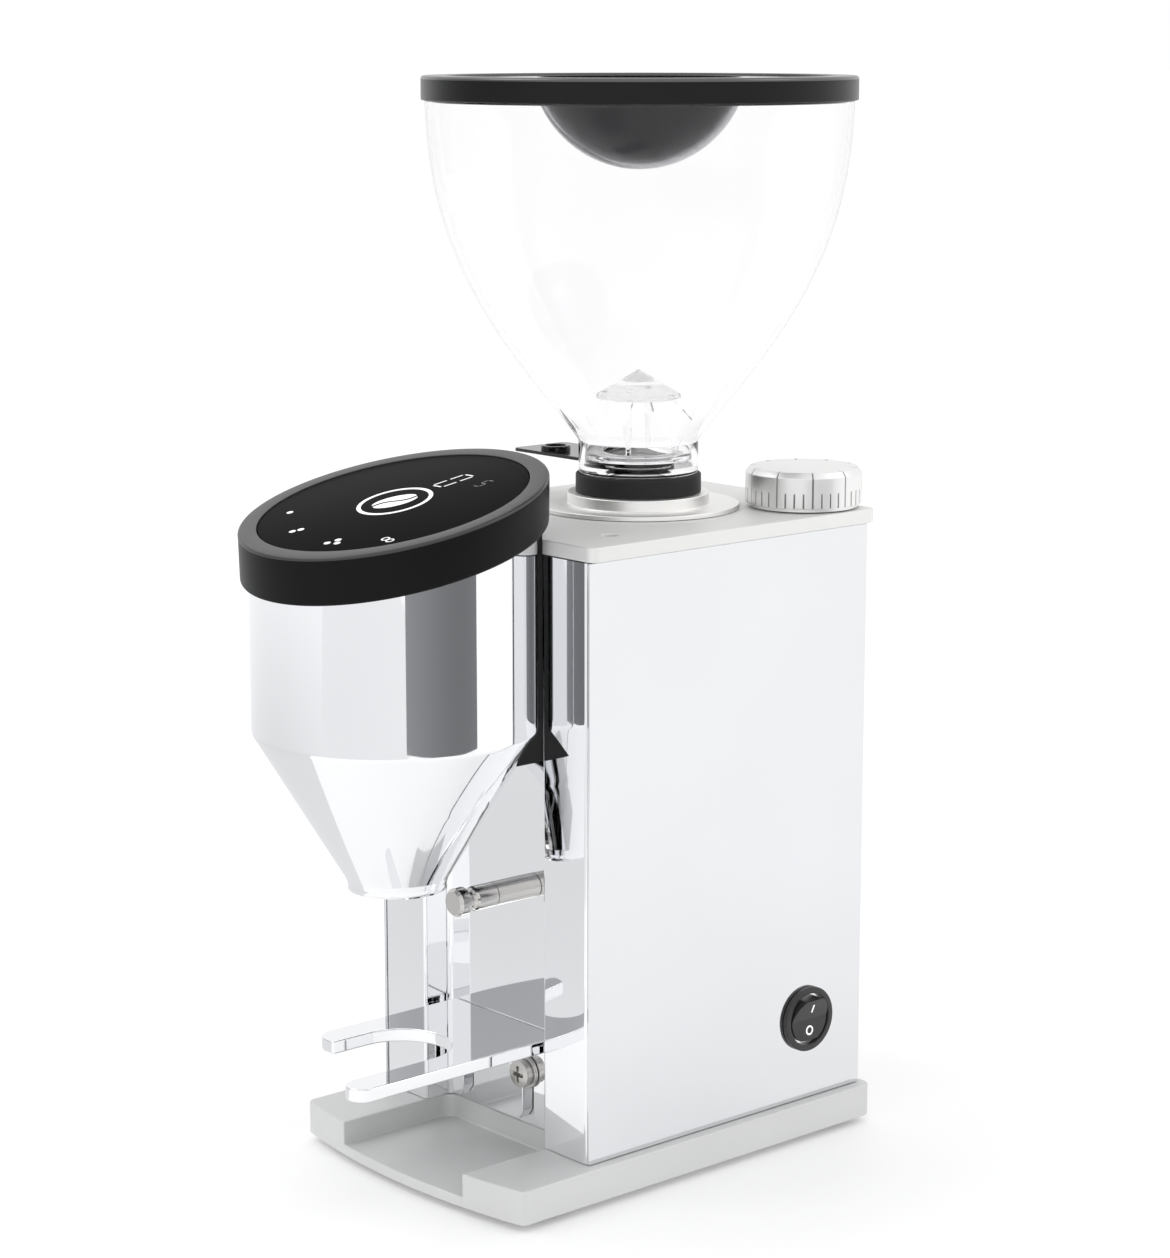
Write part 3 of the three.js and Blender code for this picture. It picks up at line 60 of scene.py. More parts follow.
# %% Profiles, grids and plates
def rounded(corners, steps=5, closed=True):
    """Path through corners (a, b, radius). A corner becomes an arc that touches both its sides: the arc's centre is
    on the corner's bisector, at radius / sin(half the corner's angle) from the corner."""
    corners = np.array([(*c, 0.0)[:3] for c in corners], float)
    path = []
    for i, (a, b, radius) in enumerate(corners):
        here = np.array([a, b])
        back = corners[i - 1, :2] - here
        ahead = corners[(i + 1) % len(corners), :2] - here
        back, ahead = back / np.linalg.norm(back), ahead / np.linalg.norm(ahead)
        half = np.arccos(np.clip(back @ ahead, -1, 1)) / 2
        if radius <= 0 or half > 1.57 or (not closed and i in (0, len(corners) - 1)):
            path.append(here[None])
            continue
        bisector = (back + ahead) / np.linalg.norm(back + ahead)
        centre = here + bisector * radius / np.sin(half)
        start = here + back * radius / np.tan(half) - centre
        side = np.sign(ahead[0] * back[1] - ahead[1] * back[0])
        turn = side * np.linspace(0, np.pi - 2 * half, steps + 1)[:, None]
        across = np.array([-start[1], start[0]])
        path.append(centre + np.cos(turn) * start + np.sin(turn) * across)
    return np.vstack(path)


def quads(rows, cols, wrap_rows=False, wrap_cols=False):
    """Faces of a grid: point (i, j) joins (i, j+1), (i+1, j+1) and (i+1, j), and a wrapped side joins its first
    line."""
    i, j = np.meshgrid(np.arange(rows - (not wrap_rows)), np.arange(cols - (not wrap_cols)), indexing="ij")
    i, j, k, m = i.ravel(), j.ravel(), (i.ravel() + 1) % rows, (j.ravel() + 1) % cols
    return np.column_stack([i * cols + j, i * cols + m, k * cols + m, k * cols + j])


def turned(profile, count=160, loop=True):
    """A profile of (r, h) carried round an axis: point (i, j) is (r_i cos a_j, r_i sin a_j, h_i)."""
    angle = np.linspace(0, 2 * np.pi, count, endpoint=False)
    r, h = profile[:, :1], profile[:, 1:]
    grid = np.stack([r * np.cos(angle), r * np.sin(angle), np.repeat(h, count, 1)], -1)
    return grid.reshape(-1, 3), quads(len(profile), count, loop, True).tolist()


def plate(outline, low, high):
    """A flat outline carried straight from one level to the other, and closed at both."""
    n = len(outline)
    points = np.vstack([np.column_stack([outline, np.full(n, h)]) for h in (low, high)])
    return points, quads(2, n, False, True).tolist() + [list(range(n))[::-1], list(range(n, 2 * n))]


def box_outline(x0, x1, y0, y1, corner=0.0, steps=5):
    """A rectangle with equal corner arcs."""
    return rounded([(x0, y0, corner), (x1, y0, corner), (x1, y1, corner), (x0, y1, corner)], steps)


def facing_y(points):
    """(a, b, h) laid on its side, so that h runs along Y and b along Z."""
    return np.column_stack([points[:, 0], points[:, 2], points[:, 1]])


def facing_x(points):
    """(a, b, h) laid on its side, so that h runs along X, a along Y and b along Z."""
    return np.column_stack([points[:, 2], points[:, 0], points[:, 1]])


def joined(*parts):
    """Several (points, faces) shapes in one list."""
    start = np.cumsum([0] + [len(p) for p, _ in parts])
    faces = [[v + s for v in face] for (_, fs), s in zip(parts, start) for face in fs]
    return np.vstack([p for p, _ in parts]), faces


def spun(points, angle):
    """Points turned about Z: x = a cos - b sin, y = a sin + b cos."""
    a, b, h = points.T
    return np.column_stack([a * np.cos(angle) - b * np.sin(angle), a * np.sin(angle) + b * np.cos(angle), h])


def refined(path, longest):
    """The same path with more points on it: each side is split evenly, by its length over the longest step."""
    parts = [path[:1]]
    for p, q in zip(path[:-1], path[1:]):
        steps = max(1, int(np.linalg.norm(q - p) / longest))
        parts.append(p + (q - p) * np.linspace(0, 1, steps + 1)[1:, None])
    return np.vstack(parts)


def slab_faces(rows, cols):
    """Two equal grids, one behind the other, closed by a strip of faces all round their edge."""
    size = rows * cols
    sheet = quads(rows, cols).tolist()
    rim = list(range(cols)) + [i * cols + cols - 1 for i in range(1, rows)]
    rim += [(rows - 1) * cols + j for j in range(cols - 2, -1, -1)] + [i * cols for i in range(rows - 2, 0, -1)]
    strip = [[p, q, q + size, p + size] for p, q in zip(rim, rim[1:] + rim[:1])]
    return [f[::-1] for f in sheet] + [[v + size for v in f] for f in sheet] + strip


print("a square with rounded corners has", len(box_outline(0, 10, 0, 10, 2)), "points")

# %% [markdown]
# A piece could be modelled by hand and moved into place, but a finished object here sits at the origin. So the
# place goes into the points, and the same helper merges seams, turns the faces outwards and names the body.
# Holes are cut as a mill would cut them, with the result kept as the mesh.

# %% Pieces from points and faces
def piece(name, shape, finish, body, stands_for=(), sharp=32, bevel=0.0, offset=(0, 0, 0)):
    """Writes a shape in millimetres into a mesh in metres, closes seams and poles, and rides it on a body."""
    points, faces = shape
    points = (np.asarray(points, float) + offset) * MM + (0, AXIS_Y, 0)
    mesh = bpy.data.meshes.new(name)
    mesh.from_pydata(points.tolist(), [], faces)
    work = bmesh.new()
    work.from_mesh(mesh)
    bmesh.ops.remove_doubles(work, verts=work.verts, dist=1e-6)
    bmesh.ops.recalc_face_normals(work, faces=work.faces)
    work.to_mesh(mesh)
    work.free()
    mesh.polygons.foreach_set("use_smooth", np.ones(len(mesh.polygons), bool))
    mesh.set_sharp_from_angle(angle=np.radians(sharp))
    thing = bpy.data.objects.new(name, mesh)
    bpy.context.scene.collection.objects.link(thing)
    mesh.materials.append(finish)
    if bevel:
        edge = thing.modifiers.new("broken_edges", "BEVEL")
        edge.width, edge.segments, edge.limit_method = bevel * MM, 3, "ANGLE"
        edge.angle_limit, edge.harden_normals = np.radians(40), True
    if body:
        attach(thing, body)
    if stands_for:
        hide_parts(*stands_for)
    print(f"{name}: {len(mesh.vertices)} points, {len(mesh.polygons)} faces")
    return thing


def cut_away(thing, *tools):
    """Takes closed shapes, in millimetres, out of a piece for good, as a milling cutter would."""
    for tool in tools:
        cutter = piece(thing.name + "_cutter", tool, thing.data.materials[0], None)
        step = thing.modifiers.new("cut", "BOOLEAN")
        step.operation, step.solver, step.object = "DIFFERENCE", "EXACT", cutter
        others = [m for m in thing.modifiers if m != step]
        for m in others:
            m.show_viewport = False
        seen = bpy.context.evaluated_depsgraph_get()
        made = bpy.data.meshes.new_from_object(thing.evaluated_get(seen))
        for m in others:
            m.show_viewport = True
        thing.modifiers.remove(step)
        thing.data = made
        bpy.data.objects.remove(cutter)
    thing.data.name = thing.name
    return thing


print("pieces are written in metres, from y =", round(AXIS_Y, 4))

# %% [markdown]
# ## Finishes
# A finish is more than a colour. Cast and blasted metal has a fine even grain, turned metal has rings left by
# the tool, brushed steel has long scratches, and moulded plastic has a slight orange-peel. One function makes
# the plain finishes: a fine noise breaks up the roughness and the bump, and a broad one drifts the colour.

# %% Node helpers
def add(tree, kind, **values):
    """A node with its inputs and properties set by name."""
    node = tree.nodes.new(kind)
    for key, value in values.items():
        if key in node.inputs:
            node.inputs[key].default_value = value
        else:
            setattr(node, key, value)
    return node


def surface_finish(name, colour, rough, metal=0.0, grain=0.5, stretch=(1, 1, 1), bump=0.05, drift=0.06, spread=0.06,
                   **shader):
    """A finish with grain of the given size in millimetres; stretch draws the grain out along an axis."""
    look = bpy.data.materials.new(name)
    look.use_nodes = True
    tree = look.node_tree
    shade = tree.nodes["Principled BSDF"]
    shade.inputs["Metallic"].default_value = metal
    for key, value in shader.items():
        shade.inputs[key.replace("_", " ")].default_value = value
    place = add(tree, "ShaderNodeTexCoord")
    drawn = add(tree, "ShaderNodeMapping", Scale=stretch)
    fine = add(tree, "ShaderNodeTexNoise", Scale=1 / (grain * MM), Detail=4.0)
    broad = add(tree, "ShaderNodeTexNoise", Scale=14.0, Detail=2.0)
    tree.links.new(place.outputs["Object"], drawn.inputs["Vector"])
    tree.links.new(drawn.outputs["Vector"], fine.inputs["Vector"])
    tree.links.new(place.outputs["Object"], broad.inputs["Vector"])
    spreads = add(tree, "ShaderNodeMapRange")
    spreads.inputs["To Min"].default_value = max(rough - spread, 0.0)
    spreads.inputs["To Max"].default_value = rough + spread
    tree.links.new(fine.outputs["Fac"], spreads.inputs["Value"])
    tree.links.new(spreads.outputs["Result"], shade.inputs["Roughness"])
    tones = add(tree, "ShaderNodeValToRGB")
    tones.color_ramp.elements[0].position, tones.color_ramp.elements[1].position = 0.3, 0.7
    for element, factor in zip(tones.color_ramp.elements, (1 - drift, 1 + drift)):
        element.color = (*np.clip(np.array(colour) * factor, 0, 1), 1)
    tree.links.new(broad.outputs["Fac"], tones.inputs["Fac"])
    tree.links.new(tones.outputs["Color"], shade.inputs["Base Color"])
    if bump:
        lift = add(tree, "ShaderNodeBump", Strength=bump, Distance=0.1 * MM)
        tree.links.new(fine.outputs["Fac"], lift.inputs["Height"])
        tree.links.new(lift.outputs["Normal"], shade.inputs["Normal"])
    return look


def turned_finish(name, colour, rough, centre, ring=0.25, bump=0.25, upright=True):
    """Turned metal: noise along one number, the distance from the axis plus the height, gives the tool's rings."""
    look = surface_finish(name, colour, rough, 1.0, 0.4, bump=0.0, drift=0.03)
    tree = look.node_tree
    shade = tree.nodes["Principled BSDF"]
    place = add(tree, "ShaderNodeTexCoord")
    split = add(tree, "ShaderNodeSeparateXYZ")
    tree.links.new(place.outputs["Object"], split.inputs[0])
    first, along = ("X", "Z") if upright else ("Z", "Y")
    second = "Y" if upright else "X"
    sides = []
    for axis, middle in zip((first, second), centre):
        off = add(tree, "ShaderNodeMath", operation="SUBTRACT")
        off.inputs[1].default_value = middle
        square = add(tree, "ShaderNodeMath", operation="MULTIPLY")
        tree.links.new(split.outputs[axis], off.inputs[0])
        tree.links.new(off.outputs[0], square.inputs[0])
        tree.links.new(off.outputs[0], square.inputs[1])
        sides.append(square)
    total = add(tree, "ShaderNodeMath", operation="ADD")
    reach = add(tree, "ShaderNodeMath", operation="SQRT")
    number = add(tree, "ShaderNodeMath", operation="ADD")
    tree.links.new(sides[0].outputs[0], total.inputs[0])
    tree.links.new(sides[1].outputs[0], total.inputs[1])
    tree.links.new(total.outputs[0], reach.inputs[0])
    tree.links.new(reach.outputs[0], number.inputs[0])
    tree.links.new(split.outputs[along], number.inputs[1])
    rings = add(tree, "ShaderNodeTexNoise", noise_dimensions="1D", Scale=1 / (ring * MM), Detail=3.0)
    tree.links.new(number.outputs[0], rings.inputs["W"])
    lift = add(tree, "ShaderNodeBump", Strength=bump, Distance=0.02 * MM)
    tree.links.new(rings.outputs["Fac"], lift.inputs["Height"])
    tree.links.new(lift.outputs["Normal"], shade.inputs["Normal"])
    return look


print("two kinds of finish: plain, and turned with rings")

# %% [markdown]
# The grinder has blasted aluminium above and below, chrome and polished sheet between, black plastics round the
# display and the lid, and clear or smoked plastic above. A black plastic could have a deeper colour instead, but a
# low refractive index keeps it dark where the bright room grazes it, so each black has its own.

# %% The grinder's metals
knob_low, knob_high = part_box("adjuster_knob")
knob_centre = ((knob_low.x + knob_high.x) / 2, (knob_low.y + knob_high.y) / 2)
blasted = surface_finish("blasted_aluminium", (0.665, 0.67, 0.668), 0.5, 0.3, 0.35, bump=0.12, drift=0.02)
# Painted light: the top plate gets a lighter copy of the base's blasted aluminium, for the light that falls on its
# face from above.
painted_light_blasted = surface_finish("painted_light_blasted_aluminium", (0.80, 0.80, 0.79), 0.46, 0.3, 0.35, bump=0.10,
    drift=0.02)
chrome = surface_finish("polished_chrome", (0.90, 0.905, 0.92), 0.035, 1.0, 2.0, bump=0.004, drift=0.01,
    spread=0.015)
panel_steel = surface_finish("polished_panel", (0.775, 0.782, 0.80), 0.10, 1.0, 0.6, (1, 1, 0.03), 0.01, 0.01,
    0.03)
rear_steel = surface_finish("brushed_panel", (0.74, 0.745, 0.75), 0.28, 1.0, 0.5, (0.03, 1, 1), 0.06, 0.02, 0.07)
bare_steel = surface_finish("bare_steel", (0.55, 0.54, 0.52), 0.24, 1.0, 0.4, (1, 1, 1), 0.05, 0.05, 0.06)
plate_steel = surface_finish("zinc_plated_steel", (0.55, 0.55, 0.53), 0.36, 1.0, 0.8, bump=0.05)
hard_steel = surface_finish("hardened_steel", (0.25, 0.25, 0.24), 0.4, 1.0, 0.5, bump=0.15)
collar_metal = turned_finish("turned_collar", (0.93, 0.925, 0.91), 0.44, (0.0, AXIS_Y))
knob_metal = turned_finish("turned_knob", (0.84, 0.84, 0.835), 0.38, knob_centre, bump=0.12)
cast_metal = surface_finish("cast_aluminium", (0.62, 0.62, 0.61), 0.5, 1.0, 0.8, bump=0.3)
print("metals:", len(bpy.data.materials))

# %% Its plastics, glass and rubber
satin_black = surface_finish("satin_black_plastic", (0.006, 0.006, 0.0065), 0.38, 0.0, 0.22, bump=0.16, drift=0.1,
    IOR=1.2)
switch_black = surface_finish("switch_plastic", (0.030, 0.029, 0.030), 0.34, 0.0, 0.25, bump=0.14, drift=0.1,
    IOR=1.42)
lid_black = surface_finish("satin_black_lid", (0.007, 0.007, 0.0075), 0.30, 0.0, 0.22, bump=0.12, drift=0.1,
    IOR=1.27)
# Painted highlight: the lid crown's black is a shade lighter than the lid ring's, and more reflective, for the bright
# band along the lid's upper edge.
crown_black = surface_finish("satin_black_crown", (0.012, 0.012, 0.013), 0.25, 0.0, 0.22, bump=0.03, drift=0.1,
    IOR=2.0)
# Painted light: the display crown's black is a shade lighter than the housing wall's, for the top face that the
# bright room lights.
rim_black = surface_finish("satin_black_rim", (0.016, 0.016, 0.017), 0.36, 0.0, 0.22, bump=0.12, drift=0.1,
    Specular_IOR_Level=0.75)
soft_black = surface_finish("black_seal", (0.020, 0.020, 0.021), 0.55, 0.0, 0.3, bump=0.12, drift=0.15,
    Specular_IOR_Level=0.2)
coated_black = surface_finish("black_coating", (0.010, 0.010, 0.011), 0.5, 0.0, 0.3, bump=0.2,
    Specular_IOR_Level=0.2)
gloss_black = surface_finish("gloss_black_plastic", (0.010, 0.010, 0.010), 0.10, 0.0, 0.6, bump=0.01, spread=0.03,
    Specular_IOR_Level=0.35)
black_glass = surface_finish("black_display_glass", (0.006, 0.006, 0.0065), 0.30, 0.0, 1.0, bump=0.004, drift=0.1,
    spread=0.02, IOR=1.042)
rubber = surface_finish("foot_rubber", (0.018, 0.018, 0.018), 0.8, 0.0, 0.4, bump=0.3, drift=0.2)
copper = surface_finish("enamelled_winding", (0.55, 0.20, 0.07), 0.35, 1.0, 0.7, (1, 1, 0.1), 0.4, 0.15)
board_green = surface_finish("circuit_board", (0.02, 0.13, 0.05), 0.45, 0.0, 1.2, bump=0.15, drift=0.2)
clear = surface_finish("clear_plastic", (0.985, 0.988, 0.99), 0.012, 0.0, 4.0, bump=0.004, drift=0.005,
    spread=0.01, Transmission_Weight=1.0, IOR=1.27)
# Painted edge shade: the clear plastic's colour turns grey where its wall is seen aslant. This stands in for the
# darker silhouettes that bent and reflected light give a clear wall.
edge_weight = add(clear.node_tree, "ShaderNodeLayerWeight", Blend=0.5)
painted_edge_shade = add(clear.node_tree, "ShaderNodeValToRGB")  # painted edge shade: the colour greys where the wall is seen aslant
marks_on_ramp = painted_edge_shade.color_ramp.elements
marks_on_ramp.new(0.84)
for element, (place, tone) in zip(marks_on_ramp, ((0.55, 0.990), (0.84, 0.925), (1.0, 1.0))):
    element.position, element.color = place, (tone, tone, min(tone * 1.005, 1.0), 1)
clear.node_tree.links.new(edge_weight.outputs["Facing"], painted_edge_shade.inputs["Fac"])
clear.node_tree.links.new(painted_edge_shade.outputs["Color"], clear.node_tree.nodes["Principled BSDF"].inputs["Base Color"])
frosted = surface_finish("frosted_plastic", (1.0, 1.0, 1.0), 0.25, 0.0, 2.0, bump=0.02, drift=0.01,
    Transmission_Weight=0.95, IOR=1.10)
smoked_grip = surface_finish("smoked_grip", (0.07, 0.07, 0.078), 0.02, 0.0, 3.0, bump=0.0, drift=0.06,
    spread=0.01, Transmission_Weight=0.7, IOR=1.45)
smoked = surface_finish("smoked_plastic", (0.30, 0.30, 0.315), 0.01, 0.0, 3.0, bump=0.0, drift=0.06, spread=0.01,
    Transmission_Weight=0.98, IOR=1.18)
# The white print gives off a little light. On the display that is the display's own light. On the rocker's marks,
# which take the same print, it is a painted glow.
ink = surface_finish("glowing_white_print", (0.86, 0.86, 0.84), 0.4, 0.0, 0.5, bump=0.02, Emission_Strength=0.35,
    Emission_Color=(1, 1, 0.97, 1))
faint_ink = surface_finish("faint_print", (0.22, 0.215, 0.21), 0.4, 0.0, 0.5, bump=0.02)
engraved = surface_finish("engraved_mark", (0.30, 0.30, 0.30), 0.45, 1.0, 0.4, bump=0.1)
print(len(bpy.data.materials), "materials")

# %% [markdown]
# ## Base, feet and top plate
# The base is one thick plate with a bowed front and a shallow pocket that catches stray grounds. Its faces are
# worked out from two outlines: the plate's own, and the pocket's, which share the front curve between them.

# %% Base plate with its pocket
BASE_LOW, BASE_TOP, POCKET = 3.0, 17.0, 7.4
CHORD, BOW, POCKET_HALF = 66.0, 6.7, 38.5
BOW_RADIUS = (CHORD**2 + BOW**2) / (2 * BOW)


def front_edge(x):
    """The bowed front: an arc through both corners, BOW ahead of them in the middle."""
    return -122.45 - (np.sqrt(BOW_RADIUS**2 - x**2) - (BOW_RADIUS - BOW))


left = np.linspace(-CHORD, -POCKET_HALF, 8)
middle = np.linspace(-POCKET_HALF, POCKET_HALF, 21)
arc = np.concatenate([left, middle[1:-1], -left[::-1]])
sides = rounded([(0, -122.45), (70, -122.1, 2.8), (70, 71.55, 4), (-70, 71.55, 4), (-70, -122.1, 2.8)])[1:]
outer = np.vstack([np.column_stack([arc, front_edge(arc)]), sides])
pocket_path = rounded([(38.5, -121), (38.5, -70.95, 6), (-38.5, -70.95, 6), (-38.5, -121)], 8, closed=False)[1:-1]
# n points in the outline; the pocket's open front runs from its point a to its point b
n, a, b = len(outer), len(left) - 1, len(left) + len(middle) - 2
levels = (BASE_LOW, POCKET, BASE_TOP)
points = np.vstack([np.column_stack([outer, np.full(n, h)]) for h in levels])
inside = np.vstack([np.column_stack([pocket_path, np.full(len(pocket_path), h)]) for h in levels[1:]])
m = len(pocket_path)
low_way = [n + b] + list(range(3 * n, 3 * n + m)) + [n + a]
high_way = [2 * n + b] + list(range(3 * n + m, 3 * n + 2 * m)) + [2 * n + a]
faces = [list(range(n))[::-1]] + [[i, (i + 1) % n, n + (i + 1) % n, n + i] for i in range(n)]
faces += [[n + i, n + (i + 1) % n, 2 * n + (i + 1) % n, 2 * n + i] for i in range(n) if not a <= i < b]
faces += [[low_way[i], high_way[i], high_way[i + 1], low_way[i + 1]] for i in range(m + 1)]
faces += [list(range(n + a, n + b + 1)) + low_way[1:-1]]
faces += [list(range(2 * n + b, 3 * n)) + list(range(2 * n, 2 * n + a + 1)) + high_way[1:-1][::-1]]
piece("base", (np.vstack([points, inside]), faces), blasted, "body", ["base_plate"], bevel=0.7)

# %% [markdown]
# The feet are turned rubber buttons under the corners. The top plate is a milled plate with the throat and two
# sunk screws in it: real holes, because the screw heads lie below its face.

# %% Feet and top plate
FOOT = rounded([(0, 0), (8, 0, 0.8), (9, 1, 0.5), (9, 2.7, 0.3), (0, 2.7)], closed=False)
for i, (x, y) in enumerate([(-54, -102.45), (54, -102.45), (-54, 57.55), (54, 57.55)]):
    piece(f"rubber_foot_{i + 1}", turned(FOOT, 64, False), rubber, "body", [f"foot_{i + 1}"], offset=(x, y, 0))
TOP_LOW, TOP = 257.7, 263.6
SCREW_X, SCREW_Y = 47.2, -57.3
top_outline = box_outline(-67.3, 67.3, -84.25, 71.55, 4, 8)
# The top plate takes the lighter copy of the blasted aluminium: painted light from above.
top_piece = piece("top", plate(top_outline, TOP_LOW, TOP), painted_light_blasted, "body", ["top_plate"], bevel=0.6)
throat_cut = turned(np.array([(0, 250.0), (24.9, 250.0), (24.9, 270.0), (0, 270.0)]), 96, False)
screw_cut = turned(np.array([(0, 260.2), (3.3, 260.2), (3.3, 270.0), (0, 270.0)]), 48, False)
screw_cuts = [(screw_cut[0] + (x, SCREW_Y, 0), screw_cut[1]) for x in (-SCREW_X, SCREW_X)]
cut_away(top_piece, throat_cut, *screw_cuts)
hex_cut = turned(rounded([(0, 261.3), (1.4, 261.3), (1.4, 270), (0, 270)], closed=False), 6, False)
HEAD = rounded([(0, 260.5), (3.0, 260.5), (3.0, 262.5, 0.5), (0, 262.5)], closed=False)
for i, x in enumerate((-SCREW_X, SCREW_X)):
    head = piece(f"top_screw_head_{i + 1}", turned(HEAD, 48, False), bare_steel, "body", [f"top_screw_{i + 1}"],
                 offset=(x, SCREW_Y, 0))
    cut_away(head, (hex_cut[0] + (x, SCREW_Y, 0), hex_cut[1]))

# %% [markdown]
# ## Casing
# The front is one folded, mirror-polished sheet: a face on each side of a recess. Its section is an outline with
# a small arc at each fold, carried up the whole height. The side panels are flat sheets beside it.

# %% Front sheet and side panels
CASE_LOW, CASE_TOP = 17.3, 257.4


def mirrored(path):
    """The same corners on the other side of x = 0, in the opposite order."""
    return [(-c[0], *c[1:]) for c in path][::-1]


seen = [(64.0, -70.25), (64.0, -84.25, 1.6), (37.6, -84.25, 1.6), (37.6, -70.95, 2.6)]
hidden = [(39.1, -69.45, 4.1), (39.1, -82.75), (62.5, -82.75), (62.5, -70.25)]
fold = rounded(seen + mirrored(seen) + mirrored(hidden) + hidden, 8)
piece("front_sheet", plate(fold, CASE_LOW, CASE_TOP), chrome, "body", ["front_channel"], sharp=25)
for name, x in (("left", -65.3), ("right", 64.3)):
    points, faces = plate(box_outline(-84.25, 68.05, CASE_LOW, CASE_TOP, 0.8), x, x + 1.0)
    piece(f"{name}_sheet", (facing_x(points), faces), panel_steel, "body", [f"side_panel_{name}"], bevel=0.3)

# %% [markdown]
# The rear panel is a brushed sheet with seven vents and the port of the mains inlet, held by four screws with
# domed heads. A cross recess could be cut out of each head, but a dip worked into the head's own grid is cleaner.

# %% Rear panel and its screws
VENT_TOP, VENT_STEP, VENT_HALF = 211.7, 9, 1.5
vent_levels = [VENT_TOP - VENT_STEP * i for i in range(7)]
vents = [box_outline(-34, 34, level - VENT_HALF, level + VENT_HALF, 1.45) for level in vent_levels]
ports = vents + [box_outline(-44, -16, 36.7, 57.3, 2)]
points, faces = plate(box_outline(-64, 64, CASE_LOW, CASE_TOP, 0.8), 66.55, 68.05)
rear = piece("rear_sheet", (facing_y(points), faces), rear_steel, "body", ["rear_panel"], bevel=0.3)
cutters = [plate(port, 60, 75) for port in ports]
cut_away(rear, *[(facing_y(p), f) for p, f in cutters])


def pan_head(radius, height, cross, steps=96):
    """A domed head with a cross recess: height falls with r squared, and drops by up to cross where |x| or |y| is
    small, both along the arms and tapering with depth."""
    r = np.concatenate([np.linspace(0, radius * 0.97, 34), [radius, radius, radius]])
    h = height * (1 - 0.22 * (r / radius) ** 2)
    h[-2], h[-1] = height * 0.55, 0.0
    angle = np.linspace(0, 2 * np.pi, steps, endpoint=False)
    x, y = r[:, None] * np.cos(angle), r[:, None] * np.sin(angle)
    arm = np.minimum(np.abs(x), np.abs(y)) / (radius * 0.13)
    reach = np.maximum(np.abs(x), np.abs(y)) / (radius * 0.58)
    dip = cross * np.clip((1.15 - arm) * 3, 0, 1) * np.clip((1.05 - reach) * 4, 0, 1)
    grid = np.stack([x, y, h[:, None] - dip * (np.arange(len(r)) < 34)[:, None]], -1)
    rim = grid.reshape(-1, 3)
    faces = quads(len(r), steps, False, True).tolist() + [list(range(len(rim) - steps, len(rim)))]
    return rim, faces


for i, (x, z) in enumerate([(-55, 36), (55, 36), (-55, 238.7), (55, 238.7)]):
    points, faces = pan_head(3.8, 2.3, 1.1)
    shape = np.column_stack([points[:, 0] + x, points[:, 2] + 68.1, points[:, 1] + z])
    piece(f"rear_screw_head_{i + 1}", (shape, faces), bare_steel, "body", [f"rear_screw_{i + 1}"], sharp=50)

# %% [markdown]
# ## Throat, hopper and lid
# The hopper drops into a black seat ring on a stepped turned collar. Its wall is one cubic curve: it leaves the
# neck at a slope and ends almost upright under the lid. Carrying an outer and an inner copy of the curve round
# the axis gives a true wall, which clear plastic needs, because light bends at both of its faces.

# %% Collar and seat ring
collar = rounded([(20.5, 253.7), (24.6, 253.7), (24.6, 263.9), (41.6, 263.9), (41.6, 265.6, 0.4), (29.2, 265.6, 0.3),
                  (29.2, 270.2, 0.5), (20.5, 270.2)])
piece("turned_collar", turned(collar, 220), collar_metal, "body", ["throat_collar"])
seat = rounded([(22.9, 270.5), (25.8, 270.5, 0.3), (25.8, 278.1, 0.9), (22.9, 278.1, 0.3)])
piece("seat", turned(seat, 180), soft_black, "body", ["seat_ring"])

# %% Hopper
NECK_TOP, RIM = 293.4, 428.4


def hopper_curve(t):
    """Cubic curve with end points at the neck and the rim, and handles that set the slope at each end."""
    ends = np.array([(25.8, NECK_TOP), (59.8, NECK_TOP + 42), (85.2, RIM - 62), (86.4, RIM)])
    t = t[:, None]
    return (1 - t) ** 3 * ends[0] + 3 * t * (1 - t) ** 2 * ends[1] + 3 * t**2 * (1 - t) * ends[2] + t**3 * ends[3]


WALL = 2.4
outside = hopper_curve(np.linspace(0, 1, 70))
along = np.gradient(outside, axis=0)
along /= np.linalg.norm(along, axis=1)[:, None]
inside = outside + WALL * np.column_stack([-along[:, 1], along[:, 0]])
inside[-1] = (86.4 - WALL, RIM)
neck = rounded([(13.5, 279.2), (20.6, 279.2), (20.6, 271.0), (22.6, 271.0, 0.4), (22.6, 278.4), (24.6, 278.4, 0.5),
                (24.6, 291.4, 1.5), (25.8, NECK_TOP)], 4, closed=False)
inner_neck = np.array([(22.4, 291.4), (22.4, 281.6), (13.5, 281.4)])
wall = np.vstack([neck, outside[1:], inside[::-1][:-1], inner_neck])
hopper = piece("bean_hopper", turned(wall, 200), clear, "hopper", ["hopper"], sharp=40)
gate_way = plate(box_outline(-29, -13.2, -14.8, 14.8), 281.55, 283.4)
cut_away(hopper, gate_way)

# %% [markdown]
# Inside the neck stands the baffle, which takes the weight of the beans off the gate: a pointed roof on four bent
# legs. The roof is turned, and each leg is a thin plate, turned to its place. They are frosted and clear, and
# cast no shadow, because bent light would need far more samples to come through.

